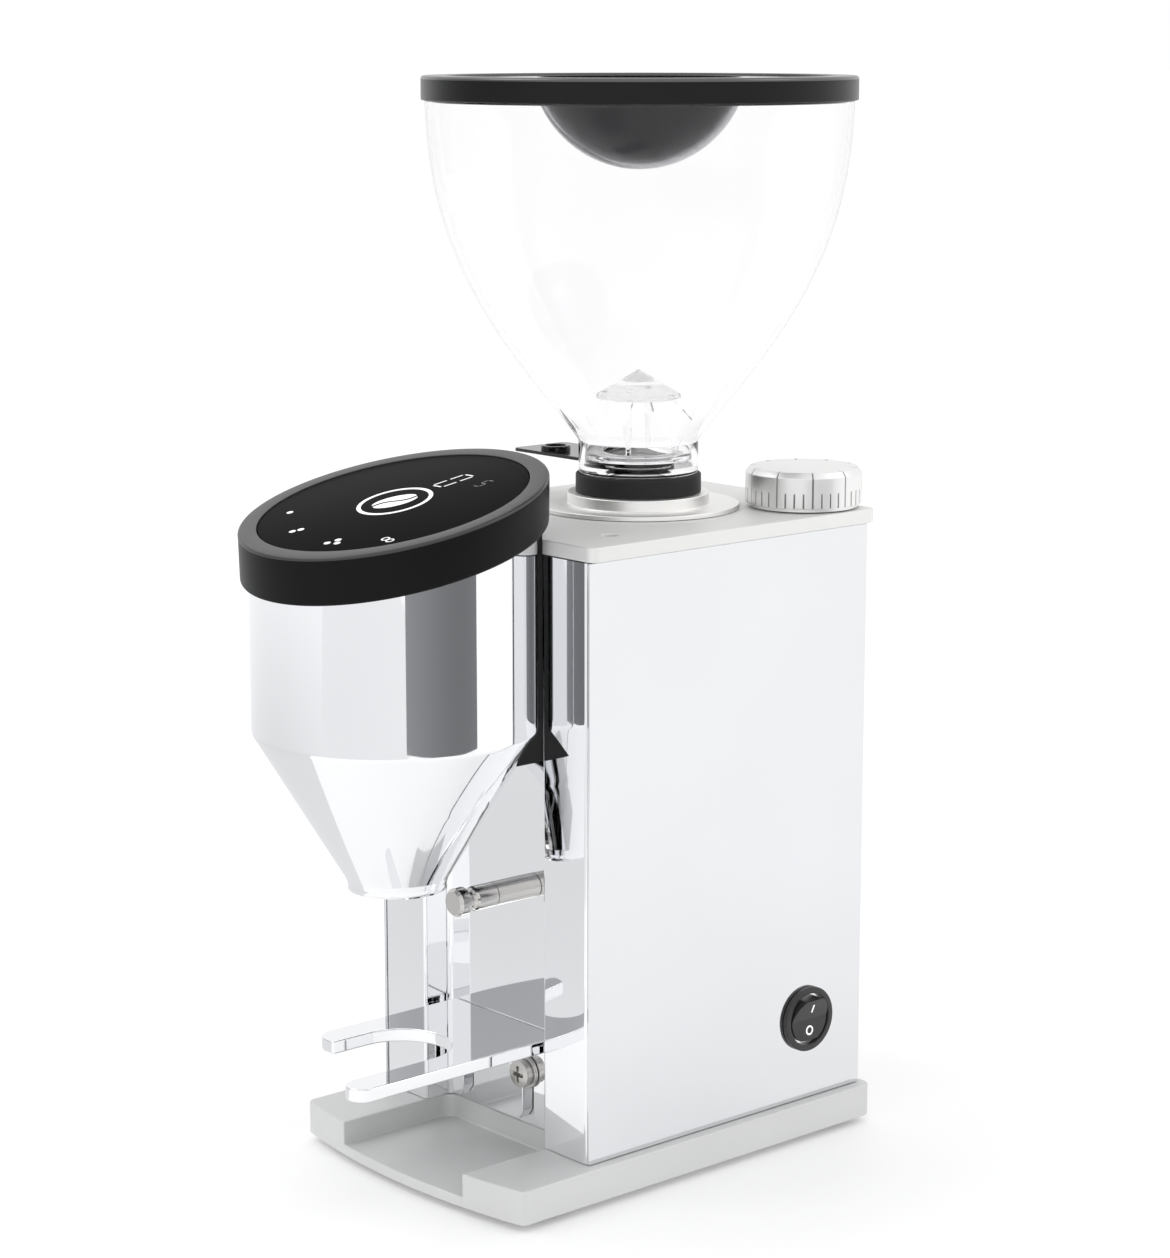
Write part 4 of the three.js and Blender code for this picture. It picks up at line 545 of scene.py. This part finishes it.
# %% Baffle roof on its posts
EAVES, EAVES_R, ROOF_RISE = 310.6, 17.2, 10.2
under_roof = rounded([(0, 309.6), (15.6, 309.0, 0.4), (17.4, 309.2, 0.6), (EAVES_R, EAVES, 0.6)], 4, closed=False)
share = np.linspace(0, 1, 30)
roof = np.vstack([under_roof[:-1], np.column_stack([EAVES_R * (1 - share), EAVES + ROOF_RISE * share])])
ring = turned(rounded([(14.5, 284.0, 0.3), (22.0, 284.0, 0.3), (22.0, 286.4, 0.3), (14.5, 286.4, 0.3)]), 120)
posts = []
for turn in np.radians((33, 123, 213, 303)):
    leg = rounded([(14.8, 286.0), (16.6, 286.0), (16.9, 291.5, 1.0), (22.6, 300.6, 0.6), (14.2, 309.4),
                   (12.2, 309.4)])
    p, f = plate(leg, -0.8, 0.8)
    posts.append((spun(facing_y(p), turn), f))
baffle = piece("baffle_posts", joined(ring, *posts), clear, "hopper", ["hopper_baffle"])
roof_piece = piece("baffle_roof", turned(roof, 120, False), frosted, "hopper")
for thing in (hopper, baffle, roof_piece):
    thing.visible_shadow = False

# %% [markdown]
# The slide gate is a flat black tongue that runs through the neck, with a half-round end inside and a pull ring
# outside. It is one outline carried up, with an eye cut through it where the ring sits.

# %% Slide gate
PULL = (-44.5, -6.5, 0)
left_end = np.linspace(np.pi / 2, -np.pi / 2, 40)
tongue = np.column_stack([0.5 + 14.5 * np.cos(left_end[::-1]), 14.5 * np.sin(left_end[::-1])])
tab = rounded([(0, 14.5), (-63, 14.5, 2.5), (-63, -14.5, 2.5), (0, -14.5)], closed=False)[1:-1]
gate = piece("gate_plate", plate(np.vstack([tongue, tab]), 281.7, 283.1), gloss_black, "gate", bevel=0.25)
boss = turned(rounded([(4.4, 283.0), (6.2, 283.0), (6.2, 285.3, 0.5), (4.4, 285.3, 0.4)]), 72)
eye = turned(np.array([(0, 275.0), (4.4, 275.0), (4.4, 290.0), (0, 290.0)]), 72, False)
cut_away(gate, (eye[0] + PULL, eye[1]))
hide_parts("slide_gate")
piece("gate_pull", boss, gloss_black, "gate", offset=PULL)

# %% [markdown]
# The lid is a black ring that sits on the rim, with a smoked bowl hung in it. A wall bends across the bowl in a
# slow S, so that two fingers can hold it. A boolean of a wall and a sphere would leave a ragged edge; instead the
# wall's foot is computed to follow the sphere.

# %% Lid ring and smoked bowl
lid = rounded([(75, 433.4), (82.6, 433.4), (82.6, 427.9, 0.3), (83.4, 427.9, 0.3), (83.4, 428.7), (87.8, 428.7, 0.5),
               (87.8, 436.9), (78, 436.9), (78, 435.4), (75, 435.4)])
piece("lid_rim", turned(lid, 240), lid_black, "lid", ["lid_ring"])
# The crown carries the lid's painted highlight: its black is lighter than the ring's.
lid_crown = rounded([(78, 436.95), (87.8, 436.95), (87.8, 438.4, 1.3), (78, 438.4, 0.5)])
piece("lid_crown", turned(lid_crown, 240), crown_black, "lid")
LIP, DEPTH, BOWL_R, BOWL_IN = 437.7, 36.6, 44, 42
BOWL_MIDDLE = LIP - DEPTH + BOWL_R


def dish(radius, level, middle=BOWL_MIDDLE):
    """A sphere's lower part, from the given level down to the pole, with a soft lip at the top."""
    start = np.arccos((middle - level) / radius)
    angle = np.linspace(start, 0, 40)
    return np.column_stack([radius * np.sin(angle), middle - radius * np.cos(angle)])


under, above = dish(BOWL_R, LIP - 2), dish(BOWL_IN, LIP)
bowl = np.vstack([under[::-1], [(77.7, LIP - 2), (77.7, LIP)], above])
piece("lid_dish", turned(bowl, 180, False), smoked, "lid", ["lid_bowl"])
grip_top, grip_foot = LIP - 1.2, BOWL_IN + 0.4
span = np.sqrt((BOWL_IN + 0.3) ** 2 - (BOWL_MIDDLE - grip_top) ** 2)


def grip(turn=0.9, thick=2.4):
    """A wall across the bowl that bends in a slow S: y = 7 sin(pi s). At each s its foot follows the bowl, so the
    depth is the sphere's depth there."""
    s, levels = np.linspace(-1, 1, 41), np.linspace(0, 1, 24)[:, None]
    x, y = span * s, 7 * np.sin(np.pi * s)
    out = np.minimum(x**2 + y**2, grip_foot**2 - (BOWL_MIDDLE - grip_top) ** 2)
    foot = BOWL_MIDDLE - np.sqrt(np.maximum(grip_foot**2 - out, 0))
    z = foot + (grip_top - foot) * levels
    x, y = np.broadcast_to(x, z.shape), np.broadcast_to(y, z.shape)
    sides = [np.stack([x, y + side * thick, z], -1).reshape(-1, 3) for side in (-1, 1)]
    return spun(np.vstack(sides), turn), slab_faces(*z.shape)


piece("lid_grip", grip(), smoked_grip, "lid")

# %% [markdown]
# ## Grind adjuster knob
# The knob is turned, then engraved: long lines run the full height and up over the chamfer, short ticks stand
# between them. The engraving is real depth: the radius drops wherever the angle is within a line's half width.

# %% Knob
KNOB_X, KNOB_Y, KNOB_LOW, KNOB_HIGH, KNOB_R = 43.0, 52.85, 264.2, 280.2, 24.0
LONG_LINES, TICKS, TICK_TOP, MARKS_LOW = 10, 40, KNOB_LOW + 7.6, KNOB_LOW + 1.6
count = 1440
angle = np.linspace(0, 2 * np.pi, count, endpoint=False)
body_line = rounded([(4.3, KNOB_LOW), (22.8, KNOB_LOW), (22.8, KNOB_LOW + 1.2), (KNOB_R, KNOB_LOW + 1.5, 0.2),
                     (KNOB_R, KNOB_HIGH - 2.2, 0.8), (22.3, KNOB_HIGH, 0.6), (0, KNOB_HIGH)], 6, closed=False)
profile = refined(body_line, 1.1)
r, h = profile[:, :1], profile[:, 1:]


def lines(angle, number, half_width):
    """How deep each angle lies in one of a number of equal lines: 1 in the middle, 0 outside."""
    step = 2 * np.pi / number
    off = np.abs((angle + step / 2) % step - step / 2) * KNOB_R
    return np.clip(1.6 * (1 - off / half_width), 0, 1)


side_zone = ((r > 22.0) & (h > MARKS_LOW)) * 1.0
low_zone = side_zone * np.clip((TICK_TOP - h) / 0.6, 0, 1)
top_zone = ((h > KNOB_HIGH - 0.05) & (r > 19.4) & (r < 21.9)) * 1.0
deep = np.maximum(side_zone * lines(angle, LONG_LINES, 0.42), low_zone * lines(angle, TICKS, 0.34))
rr = r - 0.35 * deep
hh = h - 0.22 * top_zone * lines(angle, LONG_LINES, 0.9)
grid = np.stack([rr * np.cos(angle) + KNOB_X, rr * np.sin(angle) + KNOB_Y, np.broadcast_to(hh, rr.shape)], -1)
knob_faces = quads(len(profile), count, False, True).tolist()
knob = piece("knob", (grid.reshape(-1, 3), knob_faces), knob_metal, "knob", ["adjuster_knob"])

# %% [markdown]
# The engraving is also a shade darker than the knob. A painted texture would need its own map; it is enough to
# give each face that lies in a line the second material of the knob.

# %% Darker faces in the engraving
knob.data.materials.append(engraved)
corner = np.empty(len(knob.data.polygons) * 3)
knob.data.polygons.foreach_get("center", corner)
px, py, pz = (corner.reshape(-1, 3) / MM - (KNOB_X, AXIS_Y / MM + KNOB_Y, 0)).T
at = np.arctan2(py, px) % (2 * np.pi)
reach = np.hypot(px, py)
on_side, on_top = reach > 22.1, (reach > 19.4) & (reach < 21.9) & (pz > KNOB_HIGH - 0.4)
in_tick = (lines(at, TICKS, 0.28) > 0) & (pz < TICK_TOP)
marked = on_side & (pz > MARKS_LOW) & ((lines(at, LONG_LINES, 0.36) > 0) | in_tick)
marked |= on_top & (lines(at, LONG_LINES, 0.5) > 0)
knob.data.polygons.foreach_set("material_index", marked.astype(int))
knob.data.update()
print(int(marked.sum()), "faces lie in the engraving")

# %% [markdown]
# ## Display head
# The display is a round black housing, tilted towards the user, with a disc of black glass let into it. All its
# pieces are made flat and then turned about the X axis by the same tilt.

# %% Housing and glass
CHUTE_Y, DISPLAY_Z, TILT = -127.05, 278.5, np.radians(13.7)


def tilted(points):
    """Turns points about X by the tilt, and moves their centre to the display's centre."""
    y = points[:, 1] * np.cos(TILT) - points[:, 2] * np.sin(TILT) + CHUTE_Y
    z = points[:, 1] * np.sin(TILT) + points[:, 2] * np.cos(TILT) + DISPLAY_Z
    return np.column_stack([points[:, 0], y, z])


shell = rounded([(50.7, -5.0), (50.7, -2.6), (56, -2.6), (56, -1.3), (60.97, -1.3), (60.6, -18, 1.2),
                 (58.8, -18, 0.4), (57.4, -5.0)])
p, f = turned(shell, 256)
p[:, 1] += np.minimum(p[:, 2] + 2.0, 0) * np.tan(TILT)  # the wall drops straight down, whatever the tilt
piece("display_case", (tilted(p), f), satin_black, "body", ["display_housing"])
# The crown takes the lighter black: painted light on the housing's top face.
crown = rounded([(53.5, -2.5), (53.5, 0, 0.3), (61, 0, 1.0), (60.97, -1.2), (56.1, -1.2), (56.1, -2.5)])
p, f = turned(crown, 256)
piece("display_crown", (tilted(p), f), rim_black, "body")
pane = rounded([(0, -2.3), (53.2, -2.3), (53.2, -0.3, 0.35), (0, -0.3)], closed=False)
p, f = turned(pane, 220, False)
piece("display_pane", (tilted(p), f), black_glass, "body", ["display_glass"])

# %% [markdown]
# Under the glass the display lights a ring with a coffee bean, a few dots and rings, and a numeral. They could be
# text objects, but plain outlines carried up by a hair's breadth are lighter and need no font.

# %% Symbols under the glass
PRINT_LOW, PRINT_HIGH = -0.31, -0.24
BADGE = (0.3, 0.6)


def blob(x, y, rx, ry=None, turn=0.0, count=40):
    """An ellipse, turned."""
    t = np.linspace(0, 2 * np.pi, count, endpoint=False)
    px, py = rx * np.cos(t), (ry or rx) * np.sin(t)
    return np.column_stack([x + px * np.cos(turn) - py * np.sin(turn), y + px * np.sin(turn) + py * np.cos(turn)])


def stroke(a, b, width):
    """A straight bar from a to b."""
    a, b = np.array(a, float), np.array(b, float)
    side = np.array([-(b - a)[1], (b - a)[0]]) / np.linalg.norm(b - a) * width / 2
    return np.array([a + side, a - side, b - side, b + side])


def band(x, y, radius, width, low=PRINT_LOW, high=PRINT_HIGH, count=96):
    """A flat ring: a small rectangle carried round a centre."""
    a, b = radius - width / 2, radius + width / 2
    points, faces = turned(np.array([(a, low), (b, low), (b, high), (a, high)]), count)
    return points + (x, y, 0), faces


dots = [(-34.6, -24.5), (-13.6, -39.0), (-11.9, -36.2), (13.0, -42.4), (17.2, -40.9), (14.6, -38.4)]
marks = [plate(blob(x, y, 1.35), PRINT_LOW, PRINT_HIGH) for x, y in dots]
marks += [band(36.8, -30.9, 1.45, 0.6), band(33.6, -30.4, 1.45, 0.6), band(*BADGE, 14.2, 1.7, count=160)]
piece("display_marks", joined(*[(tilted(p), f) for p, f in marks]), ink, "body")


def bean_half(side, rx=6.2, ry=9.2, turn=-0.5, gap=0.8):
    """Half of a coffee bean: an ellipse's half, bounded by an S-shaped split x = 1.4 sin(pi y / ry)."""
    y = np.linspace(-ry * 0.96, ry * 0.96, 40)
    outer = side * rx * np.sqrt(1 - (y / ry) ** 2)
    split = 1.4 * np.sin(np.pi * y / ry) + side * gap
    keep = side * (outer - split) > 0.25
    y, outer, split = y[keep], outer[keep], split[keep]
    path = np.vstack([np.column_stack([outer, y]), np.column_stack([split, y])[::-1]])
    path = spun(np.column_stack([path, np.zeros(len(path))]), turn)
    return path[:, :2] + BADGE


halves = [plate(bean_half(side), PRINT_LOW, PRINT_HIGH) for side in (-1, 1)]
piece("display_bean", joined(*[(tilted(p), f) for p, f in halves]), ink, "body")


def digit(x, y, width, height, bars, slant=0.22, thick=0.75):
    """A seven-bar numeral, drawn upright and then slanted: x moves by slant times y."""
    w, h = width / 2, height / 2
    ends = {"top": ((-w, h), (w, h)), "mid": ((-w, 0), (w, 0)), "low": ((-w, -h), (w, -h)),
            "tl": ((-w, h), (-w, 0)), "tr": ((w, h), (w, 0)), "bl": ((-w, 0), (-w, -h)), "br": ((w, 0), (w, -h))}
    made = []
    for bar in bars:
        a, b = (np.array(e) for e in ends[bar])
        a, b = a + (b - a) * 0.12, b - (b - a) * 0.12
        p, f = plate(stroke(a, b, thick), PRINT_LOW, PRINT_HIGH)
        p = np.column_stack([x + p[:, 0] + slant * p[:, 1], y + p[:, 1], p[:, 2]])
        made.append((tilted(p), f))
    return made


zero = ("top", "low", "tl", "tr", "bl", "br")
piece("display_digits", joined(*digit(5.2, 26.3, 6.0, 13.9, zero)), ink, "body")
small = digit(21.2, 28.4, 3.2, 6.6, ("top", "mid", "low", "tl", "br"), thick=0.5)
piece("display_small_digits", joined(*small), faint_ink, "body")

# %% [markdown]
# ## Grounds funnel
# The funnel is spun from sheet: a tall cylinder that runs into a cone, with its back sliced off by a flat plane
# so that it stands against the casing. In the grid the angle stops where the circle meets that plane, and where
# the cone is too small to reach the plane it goes all the way round and closes on itself.

# %% Funnel
BACK_Y, FUNNEL_TOP, SHOULDER = -86.85, 290, 189
CUT = BACK_Y - CHUTE_Y
mouth = rounded([(56, FUNNEL_TOP), (56, SHOULDER, 4), (20.6, 130.2, 3.0), (19.6, 127.6, 1.0), (19.6, 125.4)], 14,
                closed=False)
profile = refined(mouth, 2.5)
u = np.linspace(-1, 1, 181)
r = profile[:, :1]
limit = np.pi - np.arccos(np.clip(CUT / np.maximum(r, CUT), -1, 1))
phi = u * limit
x, y = r * np.sin(phi), CHUTE_Y - r * np.cos(phi)
under_display = DISPLAY_Z - 14.0 / np.cos(TILT) + (y - CHUTE_Y) * np.tan(TILT)  # the plane that the top edge meets
level = profile[:, 1:]
share = np.clip((level - SHOULDER) / (FUNNEL_TOP - SHOULDER), 0, 1)
z = np.where(level > SHOULDER, SHOULDER + share * (under_display - SHOULDER), level)
skin = (np.stack([x, y, z], -1).reshape(-1, 3), quads(len(profile), len(u)).tolist())
funnel = piece("funnel", skin, chrome, "body", ["chute"], sharp=50)
wall = funnel.modifiers.new("wall", "SOLIDIFY")
wall.thickness, wall.offset, wall.use_rim = 1.6 * MM, -1.0, True

# %% [markdown]
# ## Portafilter fork
# The fork is a thick chromed plate bent down at the back. Its prongs differ: the left one is short, and the
# right one is long and round-ended. Two slots, open below, let it be set at different heights.

# %% Fork
CUP, HALF = 20.7, 33.5
t = np.linspace(np.pi, 0, 40)
cup = np.column_stack([CUP * np.cos(t), CHUTE_Y + CUP * np.sin(t)])
tip = (HALF - CUP) / 2
t = np.linspace(np.pi, 2 * np.pi, 24)
long_y = CHUTE_Y - 45.4 + tip
long_tip = np.column_stack([CUP + tip + tip * np.cos(t), long_y + tip * np.sin(t)])
SHORT_Y, TAB_FRONT, TAB_BACK = CHUTE_Y - 17.5, -76.55, -71.25
short = rounded([(-HALF, -76.6), (-HALF, SHORT_Y, 8), (-CUP, SHORT_Y, 1.2), (-CUP, CHUTE_Y)], 10, closed=False)[:-1]
outline = np.vstack([short, cup, long_tip, [(HALF, TAB_BACK)], [(-HALF, TAB_BACK)]])
flat = plate(outline, 54.5, 59.8)
SLOT_X, SLOT_W, SLOT_TOP, TAB_LOW = 19.2, 3.2, 47.7, 20.5
slots = []
for x in (SLOT_X, -SLOT_X):
    right, left_side = x + SLOT_W, x - SLOT_W
    slots += [(right + 3, TAB_LOW), (right, TAB_LOW + 4, 1.5), (right, SLOT_TOP, SLOT_W - 0.05),
              (left_side, SLOT_TOP, SLOT_W - 0.05), (left_side, TAB_LOW + 4, 1.5), (left_side - 3, TAB_LOW)]
down = rounded([(-HALF + 4, TAB_LOW, 1), *slots[::-1], (HALF - 4, TAB_LOW, 1), (HALF, TAB_LOW + 5, 2),
                (HALF, 54.6), (-HALF, 54.6), (-HALF, TAB_LOW + 5, 2)], 6)
points, faces = plate(down, TAB_FRONT, TAB_BACK)
piece("fork_arm", flat, chrome, "fork", ["portafilter_fork"], bevel=0.6)
piece("fork_tab", (facing_y(points), faces), chrome, "fork", bevel=0.5)

# %% [markdown]
# A domed screw with a washer clamps each slot. The screws stay with the casing when the fork is moved.

# %% Fork screws with their washers
SCREW_Z = 42.5
rim = rounded([(0, -72), (2.5, -72), (2.5, -76.86), (6.8, -76.86, 0.2), (6.8, -78.3, 0.4), (0, -78.3)], closed=False)
washer, washer_faces = turned(rim, 64, False)
points, faces = pan_head(5.6, 4.0, 2.2)
head = points * (1, 1, -1) + (0, 0, -78.4)
for i, x in enumerate((-SLOT_X, SLOT_X)):
    both = joined((facing_y(head), faces), (facing_y(washer), washer_faces))
    piece(f"fork_screw_head_{i + 1}", both, bare_steel, "body", [f"fork_screw_{i + 1}"], sharp=50,
          offset=(x, 0, SCREW_Z))

# %% [markdown]
# ## Start pin
# The portafilter pushes this pin to start the grinder. It is turned steel: a chamfered head, a narrow groove, a
# shoulder, and a long body that slides into the casing. A hairline joint shows where its sleeve begins.

# %% Pin
pin_steel = turned_finish("turned_pin", (0.60, 0.59, 0.57), 0.2, (0.114, 0.0025), ring=0.18, bump=0.12, upright=False)
pin = rounded([(0, -101.35), (4.7, -101.35), (5.8, -100.1, 0.2), (5.8, -96.0, 0.3), (3.6, -94.9, 0.4),
               (3.6, -93.0, 0.5), (4.6, -92.2, 0.5), (5.1, -91.0, 0.6), (5.1, -81.6), (4.75, -81.5), (4.75, -81.2),
               (5.1, -81.1), (5.1, -63.5), (3.0, -63.4), (3.0, -46.6, 0.4), (0, -46.6)], 4, closed=False)
p, f = turned(pin, 96, False)
piece("start_plunger", (facing_y(p), f), pin_steel, "pin", ["start_pin"], offset=(2.5, 0, 114))

# %% [markdown]
# ## Power switch
# A round bezel snaps into the side panel and carries a rocker. The rocker's two halves are flat faces that meet
# at the pivot; its lower half is pressed in, so the grinder is off.

# %% Switch
SW_Y, SW_Z, FACE = 36.25, 52.05, 67.6
bezel = rounded([(0, 60.0), (11.0, 60.0), (11.0, FACE, 0.4), (13.7, FACE - 0.2, 0.5), (13.7, 65.6),
                 (12.3, 65.6), (12.3, 45.6), (0, 45.6)], closed=False)
p, f = turned(bezel, 128, False)
piece("bezel", (facing_x(p), f), switch_black, "body", ["switch_bezel"], offset=(0, SW_Y, SW_Z))
ROCKER_R, ROCKER_TOP, SLOPE = 10.0, 8.9, np.tan(np.radians(20))


def rocker_rise(y, z):
    """How far the face stands out: the upper half slopes by 20 degrees, and both halves crown a little towards
    their ends."""
    return np.where(z > 0, z * SLOPE, 0.0) + 0.35 * np.abs(z) / ROCKER_TOP * (1 - (y / ROCKER_R) ** 2)


rows = np.linspace(-ROCKER_TOP, ROCKER_TOP, 49)[:, None]
yy = np.linspace(-1, 1, 33) * np.sqrt(ROCKER_R**2 - rows**2)
zz = np.broadcast_to(rows, yy.shape)
front = np.stack([FACE - 0.5 + rocker_rise(yy, zz), yy, zz], -1).reshape(-1, 3)
back = np.stack([FACE - 4.6 + np.where(zz > 0, 0.8, 0.0), yy, zz], -1).reshape(-1, 3)
rocker_shape = (np.vstack([front, back]), slab_faces(*yy.shape))
piece("rocker", rocker_shape, switch_black, "rocker", ["switch_rocker"], offset=(0, SW_Y, SW_Z), sharp=45)


def on_rocker(points):
    """Moves flat marks (y, z, lift) onto the rocker's face."""
    y, z, lift = points.T
    return np.column_stack([FACE - 0.5 + rocker_rise(y, z) + lift, y, z])


on_mark, on_faces = plate(stroke((0, 3.2), (0, 6.8), 0.8), 0.0, 0.08)
off_mark, off_faces = band(0, -4.8, 1.7, 0.7, 0.0, 0.08)
both = joined((on_rocker(on_mark), on_faces), (on_rocker(off_mark), off_faces))
# The marks glow with the print's light: a painted glow on the rocker.
piece("switch_marks", both, ink, "rocker", offset=(0, SW_Y, SW_Z))

# %% [markdown]
# ## What stays CAD
# The parts inside and a few plain ones keep their CAD shapes, which are right as they are, and get a finish.

# %% Finishes for the CAD nodes
KEPT = {
    coated_black: ["chute_backing", "motor_can"],
    satin_black: ["pin_bush", "mains_inlet", "start_switch", "grounds_spout"],
    plate_steel: ["mount_plate", "pin_bracket", "pin_spring", "lower_bearing", "upper_bearing"],
    bare_steel: ["drive_shaft", "adjuster_shaft", "adjuster_pinion"],
    hard_steel: ["upper_burr", "lower_burr", "rotor"],
    cast_metal: ["grinding_chamber", "motor_cover", "upper_burr_carrier", "lower_burr_carrier", "adjuster_ring",
                 "run_capacitor"],
    copper: ["stator"],
    board_green: ["display_board", "control_board"],
}
for finish, names in KEPT.items():
    for name in names:
        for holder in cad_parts[name].material_slots:
            holder.material = finish
print(sum(len(v) for v in KEPT.values()), "CAD nodes keep their shape")

# %% [markdown]
# ## Stage, light and camera
# A bright, even studio with a white floor. Chrome shows only what stands round it, so a few glowing cards are
# set up, which are seen in reflections alone: a grey one on the right draws the band on the funnel, two that lie
# on the floor even out what the casing mirrors, and a far one gives the fork's top its tone.

# %% Floor and reflection cards
def sheet_object(name, corners, finish, card=False):
    """A flat four-cornered sheet; a card is seen in reflections only."""
    mesh = bpy.data.meshes.new(name)
    mesh.from_pydata(corners, [], [[0, 1, 2, 3]])
    mesh.materials.append(finish)
    thing = bpy.data.objects.new(name, mesh)
    bpy.context.scene.collection.objects.link(thing)
    if card:
        thing.visible_camera = thing.visible_diffuse = thing.visible_transmission = thing.visible_shadow = False
    return thing


def glowing(name, colour, inner, outer, centre, reach):
    """A matt sheet that gives off its own light: inner at the centre, outer at the given reach and beyond it."""
    look = surface_finish(name, (0, 0, 0), 1.0, 0.0, 40.0, bump=0.0, drift=0.0, Specular_IOR_Level=0.0)
    tree = look.node_tree
    place = add(tree, "ShaderNodeTexCoord")
    away = add(tree, "ShaderNodeVectorMath", operation="DISTANCE")
    away.inputs[1].default_value = centre
    level = add(tree, "ShaderNodeMapRange", interpolation_type="SMOOTHSTEP")
    for key, value in {"From Min": 0.0, "From Max": reach, "To Min": inner, "To Max": outer}.items():
        level.inputs[key].default_value = value
    tree.links.new(place.outputs["Object"], away.inputs[0])
    tree.links.new(away.outputs["Value"], level.inputs["Value"])
    tree.links.new(level.outputs["Result"], tree.nodes["Principled BSDF"].inputs["Emission Strength"])
    tree.nodes["Principled BSDF"].inputs["Emission Color"].default_value = (*colour, 1)
    return look


def upright_card(name, start, end, low, high, finish):
    """A card that stands between two places on the floor, given from the hopper's axis."""
    (x0, y0), (x1, y1) = start, end
    y0, y1 = y0 + AXIS_Y, y1 + AXIS_Y
    sheet_object(name, [(x0, y0, low), (x1, y1, low), (x1, y1, high), (x0, y0, high)], finish, True)


def lying_card(name, x0, x1, y0, y1, height, finish):
    """A card that lies just above the floor."""
    y0, y1 = y0 + AXIS_Y, y1 + AXIS_Y
    sheet_object(name, [(x0, y0, height), (x1, y0, height), (x1, y1, height), (x0, y1, height)], finish, True)


floor_paint = surface_finish("studio_floor", (0.90, 0.90, 0.90), 0.6, 0.0, 5.0, bump=0.0, drift=0.0,
    Emission_Color=(1, 1, 1, 1), Emission_Strength=0.12)
FAR = 30.0
sheet_object("floor", [(-FAR, -FAR, 0), (FAR, -FAR, 0), (FAR, FAR, 0), (-FAR, FAR, 0)], floor_paint)
dark_card = glowing("dark_card", (0.95, 0.97, 1.0), 0.185, 0.30, (0.75, 0.1, 0.1), 0.7)
pale_card = glowing("pale_card", (0.985, 0.99, 1.0), 0.78, 1.02, (-0.40, -0.36, 0), 1.25)
even_card = glowing("even_card", (0.985, 0.99, 1.0), 0.91, 0.93, (0.2, -0.9, 0), 1.0)
grey_card = glowing("grey_card", (0.97, 0.985, 1.0), 0.42, 0.75, (-0.95, -0.85, 0.3), 0.9)
upright_card("card_right", (0.75, -0.55), (0.75, 0.27), 0.001, 0.2, dark_card)
lying_card("card_floor", -1.75, -0.1, -1.7, 0.85, 0.001, pale_card)
lying_card("card_floor_front", -0.1, 1.2, -1.7, -0.5, 0.001, even_card)
upright_card("card_far", (-1.7, -0.2), (-0.2, -1.6), 0.12, 1.0, grey_card)
print("a floor and four cards")

# %% [markdown]
# The white surroundings give most of the light. Two wide lamps add a soft shadow under the base, and stay weak
# so that the white sheet metal isn't burnt out.

# %% Light
scene = bpy.context.scene
world = bpy.data.worlds.new("studio")
scene.world = world
world.use_nodes = True
world.node_tree.nodes["Background"].inputs["Color"].default_value = (1.0, 1.0, 1.0, 1)
world.node_tree.nodes["Background"].inputs["Strength"].default_value = 1.0


def soft_light(name, place, target, size, power):
    """A round lamp that looks from its place at the target."""
    lamp = bpy.data.lights.new(name, "AREA")
    lamp.shape, lamp.size, lamp.energy = "DISK", size, power
    thing = bpy.data.objects.new(name, lamp)
    scene.collection.objects.link(thing)
    aim = Vector(target) - Vector(place)
    thing.location = place
    thing.rotation_euler = aim.to_track_quat("-Z", "Y").to_euler()
    return thing


soft_light("key", (-1.2, -1.4, 2.4), (0, 0, 0.2), 1.6, 12)
soft_light("fill", (1.8, 1.6, 2.2), (0, 0, 0.2), 1.6, 7)
print("a key lamp of 12 W and a fill lamp of 7 W")

# %% [markdown]
# The camera stands a little above the grinder, in front of its right side, with a long lens. The plain view
# transform keeps white paper white.

# %% Camera
YAW, PITCH = np.radians(48.84), np.radians(10.94)
camera = bpy.data.cameras.new("camera")
camera.lens, camera.sensor_width, camera.clip_end = 87.95, 36.0, 100.0
eye_object = bpy.data.objects.new("camera", camera)
scene.collection.objects.link(eye_object)
eye_object.location = (0.9280, -0.84035 + AXIS_Y, 0.4542)
eye_object.rotation_euler = (np.pi / 2 - PITCH, 0.0, YAW)
scene.camera = eye_object
scene.view_settings.view_transform = "Standard"
print("camera at", tuple(round(v, 3) for v in eye_object.location))
